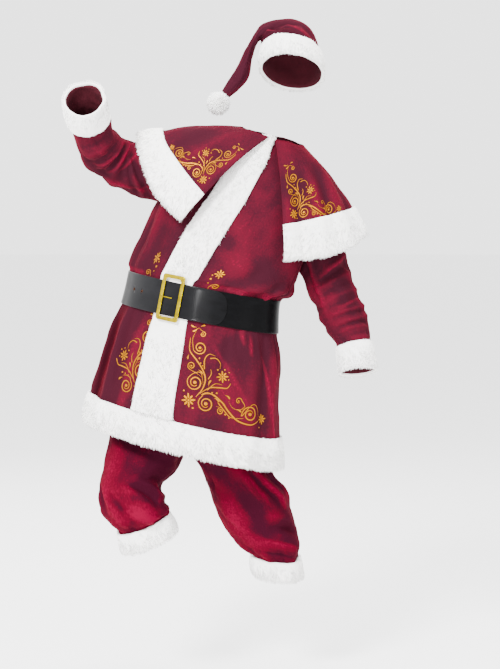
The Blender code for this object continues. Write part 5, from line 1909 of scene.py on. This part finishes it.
LEFT_LEG_FOLDS = creases(
    (0.05, 3.5, 0.2, 7.2, 0.03, -0.009), (0.85, 4.5, 0.95, 8.0, 0.028, 0.007),
    (0.45, 4.0, 0.55, 8.0, 0.03, -0.008), (0.035, 3.2, -0.07, 5.2, 0.0045, -0.0055, 0.004),
    (0.215, 3.4, 0.3, 5.6, 0.01, 0.0085, 0.006), (0.19, 3.6, 0.265, 5.5, 0.009, -0.0075, 0.006),
    (0.155, 3.4, 0.18, 5.0, 0.009, 0.0055), (0.265, 3.3, 0.345, 4.9, 0.009, -0.007, 0.004),
    (0.32, 3.6, 0.38, 5.4, 0.01, 0.0065), (0.175, 6.1, 0.345, 6.6, 0.011, -0.0085, 0.008),
    (0.14, 5.6, 0.34, 6.1, 0.013, 0.006, 0.01), (0.075, 6.6, 0.29, 7.3, 0.011, 0.0075, 0.01),
    (0.06, 7.0, 0.26, 7.7, 0.008, -0.0055, 0.006), (0.6, 4.4, 0.84, 6.0, 0.02, -0.0065, 0.01),
    (0.56, 5.6, 0.84, 6.6, 0.016, 0.0065, 0.01), (0.92, 5.0, 1.08, 6.4, 0.014, 0.0055, 0.01),
    (0.4, 5.4, 0.62, 6.4, 0.016, 0.0065, 0.01),
) + tuple(Crease(u, 6.9, u + lean, 8.1, 0.009, height) for u, lean, height in (
    (0.02, 0.01, -0.0040), (0.10, -0.01, 0.0040), (0.18, 0.01, -0.0035), (0.27, 0.00, 0.0040),
    (0.36, 0.01, -0.0040), (0.45, -0.01, 0.0045), (0.53, 0.01, -0.0045), (0.62, 0.00, 0.0040),
    (0.72, 0.01, -0.0045), (0.80, -0.01, 0.0045), (0.90, 0.01, -0.0040))) + (
    Unevenness(0.0018, 0.09, 61), Unevenness(0.0007, 0.03, 62))


# ---------------------------------------------------------------- hat
@dataclass
class Hat:
    """A velvet cone that is folded over to one side, its plush band and its pompom."""

    looks: Looks
    flat: tuple[float, float, float] = (0.62, 0.45, 0.14)
    columns: int = 92
    rows: int = 98
    tufts: int = 3600
    pompom_radius: float = 0.031
    pompom_tufts: int = 1500
    pompom_sides: int = 28
    pompom_rings: int = 17
    cloth: Tube = field(init=False)

    def __post_init__(self) -> None:
        """Lay out the hat's surface with the creases of its gathered crown."""
        gathers = creases(
            (0.02, 0.9, 0.1, 3.6, 0.01, -0.004, 0.004), (0.1, 0.9, 0.16, 4.2, 0.01, 0.0045),
            (0.9, 0.9, 0.0, 3.8, 0.01, 0.0045, 0.003), (0.84, 1.0, 0.93, 4.0, 0.009, -0.004),
            (0.76, 0.9, 0.85, 3.4, 0.01, 0.004), (0.18, 1.2, 0.24, 3.2, 0.008, -0.003),
            (0.3, 0.9, 0.34, 3.0, 0.012, 0.004), (0.4, 0.9, 0.44, 3.6, 0.012, -0.0045),
            (0.5, 0.9, 0.52, 3.8, 0.012, 0.0045), (0.6, 0.9, 0.6, 3.4, 0.012, -0.0045),
            (0.68, 0.9, 0.7, 3.2, 0.01, 0.0035), (0.95, 2.2, 0.22, 2.9, 0.009, -0.004, 0.006),
            (0.92, 3.1, 0.2, 3.7, 0.008, -0.0035, 0.006), (0.9, 4.2, 0.3, 4.5, 0.006, -0.003),
            (0.05, 4.4, 0.12, 6.6, 0.007, 0.003), (0.9, 4.6, 0.96, 7.4, 0.007, -0.003),
            (0.98, 5.8, 0.04, 8.6, 0.006, 0.0028), (0.2, 5.2, 0.16, 8.4, 0.007, -0.0028),
            (0.45, 4.4, 0.52, 8.0, 0.008, 0.003), (0.7, 4.8, 0.66, 8.4, 0.008, -0.003),
            (0.36, 5.4, 0.34, 8.6, 0.007, 0.0026), (0.9, 8.2, 0.1, 8.4, 0.006, -0.0022),
            (0.75, -0.5, 0.75, 9.5, 0.003, -0.001),
        ) + (Unevenness(0.0009, 0.06, 71), Unevenness(0.0004, 0.025, 72))
        self.cloth = Tube(HAT, gathers)
        # Painted sheen (+) and painted shade (-) on the hat's velvet.
        self.cloth.painted_light = creases(
            (0.03, 0.4, 0.03, 4.6, 0.07, -2.0), (0.95, 3.6, 0.95, 9.8, 0.045, -1.6),
            (0.08, 1.3, 0.15, 3.6, 0.006, 2.0, 0.004), (0.92, 1.1, 0.99, 3.4, 0.006, 2.0, 0.004),
            (0.2, 4.2, 0.19, 9.2, 0.008, 1.4), (0.5, 0.8, 0.52, 4.2, 0.05, -1.2),
        )

    def pompom(self) -> bpy.types.Object:
        """The pompom: tufts all over a ball."""
        end, before = HAT[-1], HAT[-2]
        tip = np.array([(end.ax + end.bx) / 2, end.y, (end.az + end.bz) / 2])
        way = unit(tip - np.array([(before.ax + before.bx) / 2, before.y, (before.az + before.bz) / 2]))
        middle = tip + way * (self.pompom_radius + 4 * TOUCH)
        mesh = Mesh()
        sides, rings = self.pompom_sides, self.pompom_rings
        turn, tilt = np.meshgrid(np.arange(sides) / sides * 2 * math.pi,
                                 np.linspace(0.02, math.pi - 0.02, rings))
        ball = np.stack([np.sin(tilt) * np.cos(turn), np.sin(tilt) * np.sin(turn), -np.cos(tilt)], -1)
        corners = cells(rings, sides, True)[0]
        places = np.zeros((len(corners), 4, 2))
        cap = np.arange(sides)[None, :]
        caps = [cap, cap[:, ::-1] + (rings - 1) * sides]
        # The core is painted in deep shade under the tufts.
        mesh.add(middle + ball * self.pompom_radius * 0.72,
                 [(corners[:, ::-1], places, 0)]
                 + [(cap[:, ::-1], np.zeros((1, sides, 2)), 0) for cap in caps], 0.25)
        draw = np.random.default_rng(81)
        index = np.arange(self.pompom_tufts) + 0.5
        height, angle = 1 - 2 * index / self.pompom_tufts, index * GOLDEN_TURN
        flat = np.sqrt(1 - height ** 2)
        out = np.stack([flat * np.cos(angle), flat * np.sin(angle), height], -1)
        out = unit(out + draw.normal(0, 0.05, out.shape))
        swirl = unit(np.cross(out, np.array([0.3, 0.2, 0.9]))) + np.array([0.0, 0.0, -0.7])
        root = middle + out * self.pompom_radius * 0.62
        long = self.pompom_radius * 0.46 * draw.uniform(0.75, 1.15, len(out))[:, None]
        mid = root + unit(out + swirl * 0.16) * long * 0.5
        tip_points = mid + unit(out + swirl * draw.uniform(0.2, 0.7, len(out))[:, None]) * long * 0.55
        add_tufts(mesh, root, mid, tip_points, out, 0.0014 * draw.uniform(0.8, 1.3, len(out)), draw)
        return mesh.build("hat_pompom_plush", [self.looks.plush])

    def build(self) -> None:
        turns = 0.75 + np.arange(self.columns) / self.columns
        u, v = np.meshgrid(turns, np.linspace(UNDER_BAND, self.cloth.rows, self.rows + 1))
        body = cloth_piece("hat_cloth", self.cloth, u, v, True, [self.looks.coat, self.looks.lining])
        band = PlushBand(self.cloth, 0, level(HAT, "band_top"), (0.0, 1.0), True, self.tufts, 73,
                         comb=Comb.UP, length=0.015).build("hat_band_plush", self.looks)
        pompom = self.pompom()
        declare(body, "hat_body")
        declare(band, "hat_band")
        declare(pompom, "hat_pompom")
        wide, long, area = self.flat


# ---------------------------------------------------------------- belt and buckle
@dataclass
class Belt:
    """One strap, once round and over itself, with punched holes, and its buckle."""

    looks: Looks
    coat: Tube
    lift: float = 0.0045
    over_band: float = 0.003
    tongue: tuple[float, float, float] = (0.112, -0.060, -0.150)
    tongue_round: float = 0.028
    hole_turns: tuple[float, ...] = (-0.075, -0.105)
    hole_radius: float = 0.003
    columns: int = 260
    flat: tuple[float, float] = (0.09, 1.40)
    buckle: tuple[float, float] = (0.066, 0.122)
    bar: float = 0.010
    thick: float = 0.0036
    prong_length: float = 0.026
    prong_radius: float = 0.0016

    def height(self, turn: Array) -> Array:
        """Height of the strap's middle: it rises over the centre band and over its own other end."""
        wrapped = (turn + 0.5) % 1 - 0.5
        over_band = self.over_band * np.exp(-(wrapped / 0.055) ** 4)
        _, low, down = self.tongue
        part = np.clip((turn - down) / (low - down), 0.0, 1.0)
        return self.lift + over_band + (STRAP + 1.4 * TOUCH) * part * part * (3 - 2 * part)

    def spot(self, turn: Array, v: Array, out: Array | float = 0.0) -> Array:
        """Points of the strap's middle, moved out, on the coat without its small creases."""
        smooth = Tube(COAT)
        u, v = np.broadcast_arrays(np.asarray(turn, float), np.asarray(v, float))
        return smooth.at(u, v, self.height(u) + out)

    def frame(self, turn: float) -> Matrix:
        """Place of the strap's middle at a turn, with axes across it, up it and out of it."""
        top, base = level(COAT, "belt_top"), level(COAT, "belt_base")
        middle = (top + base) / 2
        place = self.spot(np.array(turn), np.array(middle))
        up = (self.spot(np.array(turn), np.array(float(top)))
              - self.spot(np.array(turn), np.array(float(base))))
        across = (self.spot(np.array(turn + 0.022), np.array(middle))
                  - self.spot(np.array(turn - 0.022), np.array(middle)))
        out = unit(np.cross(across, up))
        across = unit(across)
        up = np.cross(out, across)
        made = Matrix([[*row] for row in np.stack([across, up, out], -1)]).to_4x4()
        return Matrix.Translation(Vector(place)) @ made

    def strap(self) -> bpy.types.Object:
        """The strap, with rounded edges and a rounded end on top."""
        tip = self.tongue[0]
        straight = tip - self.tongue_round
        turns = np.concatenate([np.linspace(-1.0, straight, self.columns),
                                np.linspace(straight, tip, 15)[1:]])
        shares = np.array([-1, -0.985, -0.955, -0.9, -0.75, -0.5, -0.25, 0, 0.25, 0.5, 0.75, 0.9, 0.955,
                           0.985, 1])
        top, base = level(COAT, "belt_top"), level(COAT, "belt_base")
        part = np.clip((turns - straight) / self.tongue_round, 0, 1)
        half = (base - top) / 2 * np.sqrt(np.maximum(1 - (part * 0.985) ** 2, 0))
        u = np.broadcast_to(turns[None, :], (len(shares), len(turns)))
        v = (top + base) / 2 + shares[:, None] * half[None, :]
        edge = np.minimum((1 - np.abs(shares)) / 0.10, 1.0)
        ends = np.clip(np.minimum(turns + 1.0, tip - turns) / 0.003, 0, 1)
        full = np.sqrt(np.clip(1 - (1 - edge) ** 2, 0, 1))[:, None] * np.sqrt(1 - (1 - ends) ** 2)[None, :]
        thick = STRAP / 2 * (0.35 + 0.65 * full)
        drape = Unevenness(0.0005, 0.16, 91).rise(u, v, self.coat)
        mesh = Mesh()
        # The shade is painted highlight: full on the upper layer left of the buckle, fading towards the
        # tongue, and none on the under layer.
        shell(mesh, self.spot(u, v, thick + drape), self.spot(u, v, drape - thick), False,
              texture_places(self.coat, u, v, False), looks=(0, 0),
              shade=np.clip((u + 0.15) / 0.02, 0, 1) * np.clip(0.66 - 3.6 * u, 0.3, 1))
        return mesh.build("belt_strap_leather", [self.looks.leather])

    def punch(self, strap: bpy.types.Object) -> list[bpy.types.Object]:
        """Punch the holes and give each its edge.

        Args:
            strap: The strap.

        Returns:
            The edges.
        """
        rims = []
        for number, turn in enumerate(self.hole_turns, 1):
            place = self.frame(turn)
            deselect()
            bpy.ops.mesh.primitive_cylinder_add(vertices=24, radius=self.hole_radius, depth=0.006)
            cutter = bpy.context.object
            cutter.data.transform(place)
            cut = strap.modifiers.new("Hole", "BOOLEAN")
            cut.operation, cut.object, cut.solver = "DIFFERENCE", cutter, "EXACT"
            apply_all(strap)
            bpy.data.objects.remove(cutter, do_unlink=True)
            deselect()
            bpy.ops.mesh.primitive_torus_add(major_segments=28, minor_segments=8,
                                             major_radius=self.hole_radius, minor_radius=0.0005)
            rim = bpy.context.object
            rim.name = f"belt_hole_edge_{number}"
            rim.data.transform(place @ Matrix.Translation((0, 0, STRAP / 2 + 0.0001)))
            rim.data.materials.append(self.looks.rim)
            finish(rim)
            rims.append(rim)
        return rims

    def buckle_frame(self) -> bpy.types.Object:
        """The rectangular frame: a block whose middle is inset away, with rounded bars and corners."""
        wide, tall = self.buckle
        deselect()
        bpy.ops.mesh.primitive_cube_add(size=1.0)
        made = bpy.context.object
        made.name = "buckle_frame_metal"
        made.data.transform(Matrix.Diagonal((wide, tall, self.thick, 1)))
        bpy.ops.object.mode_set(mode="EDIT")
        pick_faces(made, lambda face: abs(face.normal.z) > 0.9)
        bpy.ops.mesh.inset(thickness=self.bar, use_individual=True)
        pick_faces(made, lambda face: abs(face.normal.z) > 0.9 and abs(face.center.x) < 1e-5
                   and abs(face.center.y) < 1e-5)
        bpy.ops.mesh.bridge_edge_loops()
        pick_edges(made, lambda a, b: abs(a.x - b.x) < 1e-6 and abs(a.y - b.y) < 1e-6)
        bpy.ops.mesh.bevel(offset=0.007, segments=6, affect="EDGES")
        bpy.ops.object.mode_set(mode="OBJECT")
        soften = made.modifiers.new("Rounded bars", "BEVEL")
        soften.width, soften.segments, soften.limit_method = 0.0014, 4, "ANGLE"
        apply_all(made)
        rise = STRAP / 2 + TOUCH + self.thick / 2 + 0.0006
        made.data.transform(self.frame(0.0) @ Matrix.Translation((0, 0, rise)))
        made.data.materials.append(self.looks.brass)
        finish(made)
        return made

    def prong(self) -> bpy.types.Object:
        """The short prong, with a rounded tip and a short, narrower stub at its other end."""
        deselect()
        bpy.ops.mesh.primitive_cylinder_add(vertices=20, radius=self.prong_radius, depth=self.prong_length)
        made = bpy.context.object
        made.name = "buckle_prong_metal"
        bpy.ops.object.mode_set(mode="EDIT")
        pick_faces(made, lambda face: face.normal.z > 0.9)
        bpy.ops.mesh.inset(thickness=self.prong_radius * 0.35)
        bpy.ops.transform.translate(value=(0, 0, self.prong_radius * 0.4))
        pick_faces(made, lambda face: face.normal.z < -0.9)
        bpy.ops.mesh.extrude_region_move(TRANSFORM_OT_translate={"value": (0, 0, -0.0006)})
        bpy.ops.transform.resize(value=(0.8, 0.8, 1.0), center_override=(0, 0, -self.prong_length / 2))
        bpy.ops.object.mode_set(mode="OBJECT")
        reach = (self.prong_length - self.buckle[0] + 2 * self.bar) / 2 + TOUCH
        aside = Matrix.Translation((reach, 0.0, STRAP / 2 + TOUCH + self.prong_radius + 0.0004))
        made.data.transform(self.frame(0.0) @ aside @ Matrix.Rotation(math.pi / 2, 4, "Y"))
        made.data.materials.append(self.looks.brass)
        finish(made)
        return made

    def build(self) -> None:
        strap = self.strap()
        rims = self.punch(strap)
        declare(strap, "belt_strap")
        declare(self.buckle_frame(), "buckle_frame")
        declare(self.prong(), "buckle_prong")
        for rim in rims:
            declare(rim)


def deselect() -> None:
    """Leave nothing selected."""
    bpy.ops.object.select_all(action="DESELECT")


def pick_faces(made: bpy.types.Object, wanted: Callable[[bpy.types.MeshPolygon], bool]) -> None:
    """Select only the wanted faces of the mesh that is being edited."""
    bpy.ops.mesh.select_mode(type="FACE")
    bpy.ops.mesh.select_all(action="DESELECT")
    bpy.ops.object.mode_set(mode="OBJECT")
    for face in made.data.polygons:
        face.select = wanted(face)
    bpy.ops.object.mode_set(mode="EDIT")


def pick_edges(made: bpy.types.Object, wanted: Callable[[Vector, Vector], bool]) -> None:
    """Select only the wanted edges of the mesh that is being edited."""
    bpy.ops.mesh.select_mode(type="EDGE")
    bpy.ops.mesh.select_all(action="DESELECT")
    bpy.ops.object.mode_set(mode="OBJECT")
    points = made.data.vertices
    for edge in made.data.edges:
        edge.select = wanted(*(points[index].co for index in edge.vertices))
    bpy.ops.object.mode_set(mode="EDIT")


def apply_all(made: bpy.types.Object) -> None:
    """Apply all the modifiers of a piece."""
    deselect()
    bpy.context.view_layer.objects.active = made
    made.select_set(True)
    for change in list(made.modifiers):
        bpy.ops.object.modifier_apply(modifier=change.name)
    made.select_set(False)


def finish(made: bpy.types.Object) -> None:
    """Shade a hard piece smooth up to its real edges."""
    deselect()
    bpy.context.view_layer.objects.active = made
    made.select_set(True)
    bpy.ops.object.shade_smooth_by_angle(angle=math.radians(35))
    made.select_set(False)


# ---------------------------------------------------------------- studio
# Each soft light's name, place, power in watts and width in metres.
LIGHTS = (("key", (-1.9, -3.6, 2.2), 640.0, 1.2), ("fill", (2.6, -3.0, 0.8), 60.0, 2.0),
          ("low", (-1.35, -3.5, -0.35), 33.0, 0.30), ("top", (0.2, 0.6, 3.2), 225.0, 2.0),
          ("back", (-1.2, 3.2, 1.4), 105.0, 2.4))


@dataclass(frozen=True)
class Studio:
    """Pale floor, soft lights and the camera."""

    looks: Looks
    floor: float = -1.49
    camera_place: tuple[float, float, float] = (-0.0594, -5.0, -0.1647)
    camera_pitch: float = 90 - 4.154
    lens: float = 99.9
    floor_half: float = 40.0
    aim: tuple[float, float, float] = (-0.12, 0.0, -0.45)
    sky_strength: float = 2.9

    def build(self) -> None:
        """Make the floor, the lights, the sky and the camera."""
        half = self.floor_half
        mesh = bpy.data.meshes.new("floor")
        mesh.from_pydata([(-half, -half, self.floor), (half, -half, self.floor), (half, half, self.floor),
                          (-half, half, self.floor)], [], [(0, 1, 2, 3)])
        mesh.materials.append(self.looks.paper)
        floor = bpy.data.objects.new("floor", mesh)
        bpy.context.scene.collection.objects.link(floor)
        floor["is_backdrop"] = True
        for name, place, power, size in LIGHTS:
            lamp = bpy.data.lights.new(name, "AREA")
            lamp.energy, lamp.size, lamp.shape = power, size, "DISK"
            made = bpy.data.objects.new(name, lamp)
            made.location = place
            made.rotation_euler = (Vector(self.aim) - Vector(place)).to_track_quat("-Z", "Y").to_euler()
            bpy.context.scene.collection.objects.link(made)
        world = bpy.data.worlds.new("studio")
        world.use_nodes = True
        sky = world.node_tree.nodes["Background"]
        sky.inputs["Color"].default_value = (1.0, 1.0, 1.0, 1)
        sky.inputs["Strength"].default_value = self.sky_strength
        bpy.context.scene.world = world
        lens = bpy.data.cameras.new("camera")
        lens.lens, lens.sensor_width = self.lens, 36.0
        camera = bpy.data.objects.new("camera", lens)
        camera.location = self.camera_place
        camera.rotation_euler = (math.radians(self.camera_pitch), 0, 0)
        bpy.context.scene.collection.objects.link(camera)
        bpy.context.scene.camera = camera


# ---------------------------------------------------------------- the suit
def main() -> None:
    """Build every piece in order and report it."""
    logging.basicConfig(level=logging.INFO, format="%(name)s: %(message)s")
    looks = Looks()
    Studio(looks).build()
    coat = Coat(looks)
    right = Sleeve(looks, "right", RIGHT_SLEEVE, RIGHT_ARM_FOLDS, RIGHT_ARM_PAINTED_LIGHT, (0.50, 0.60, 0.24))
    left = Sleeve(looks, "left", LEFT_SLEEVE, LEFT_ARM_FOLDS, LEFT_ARM_PAINTED_LIGHT, (0.48, 0.60, 0.22))
    body = Solid(coat.cloth, 144, 6)
    arms = [right.solid(), left.solid()]
    coat.build(arms)
    LOG.info("coat")
    for sleeve in (right, left):
        sleeve.build(body)
        LOG.info("%s sleeve", sleeve.side)
    Cape(looks).build([body] + arms)
    LOG.info("cape")
    Belt(looks, coat.cloth).build()
    LOG.info("belt and buckle")
    for side, sections, folds, painted_light in (("right", RIGHT_LEG, RIGHT_LEG_FOLDS, RIGHT_LEG_PAINTED_LIGHT),
                                        ("left", LEFT_LEG, LEFT_LEG_FOLDS, LEFT_LEG_PAINTED_LIGHT)):
        TrouserLeg(looks, side, sections, folds, painted_light).build()
        LOG.info("%s trouser leg", side)
    Hat(looks).build()
    LOG.info("hat")
    boxes = [[[float(x) for x in corner] for corner in box] for box in (CAD_BOX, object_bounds())]


if __name__ == "__main__":
    main()
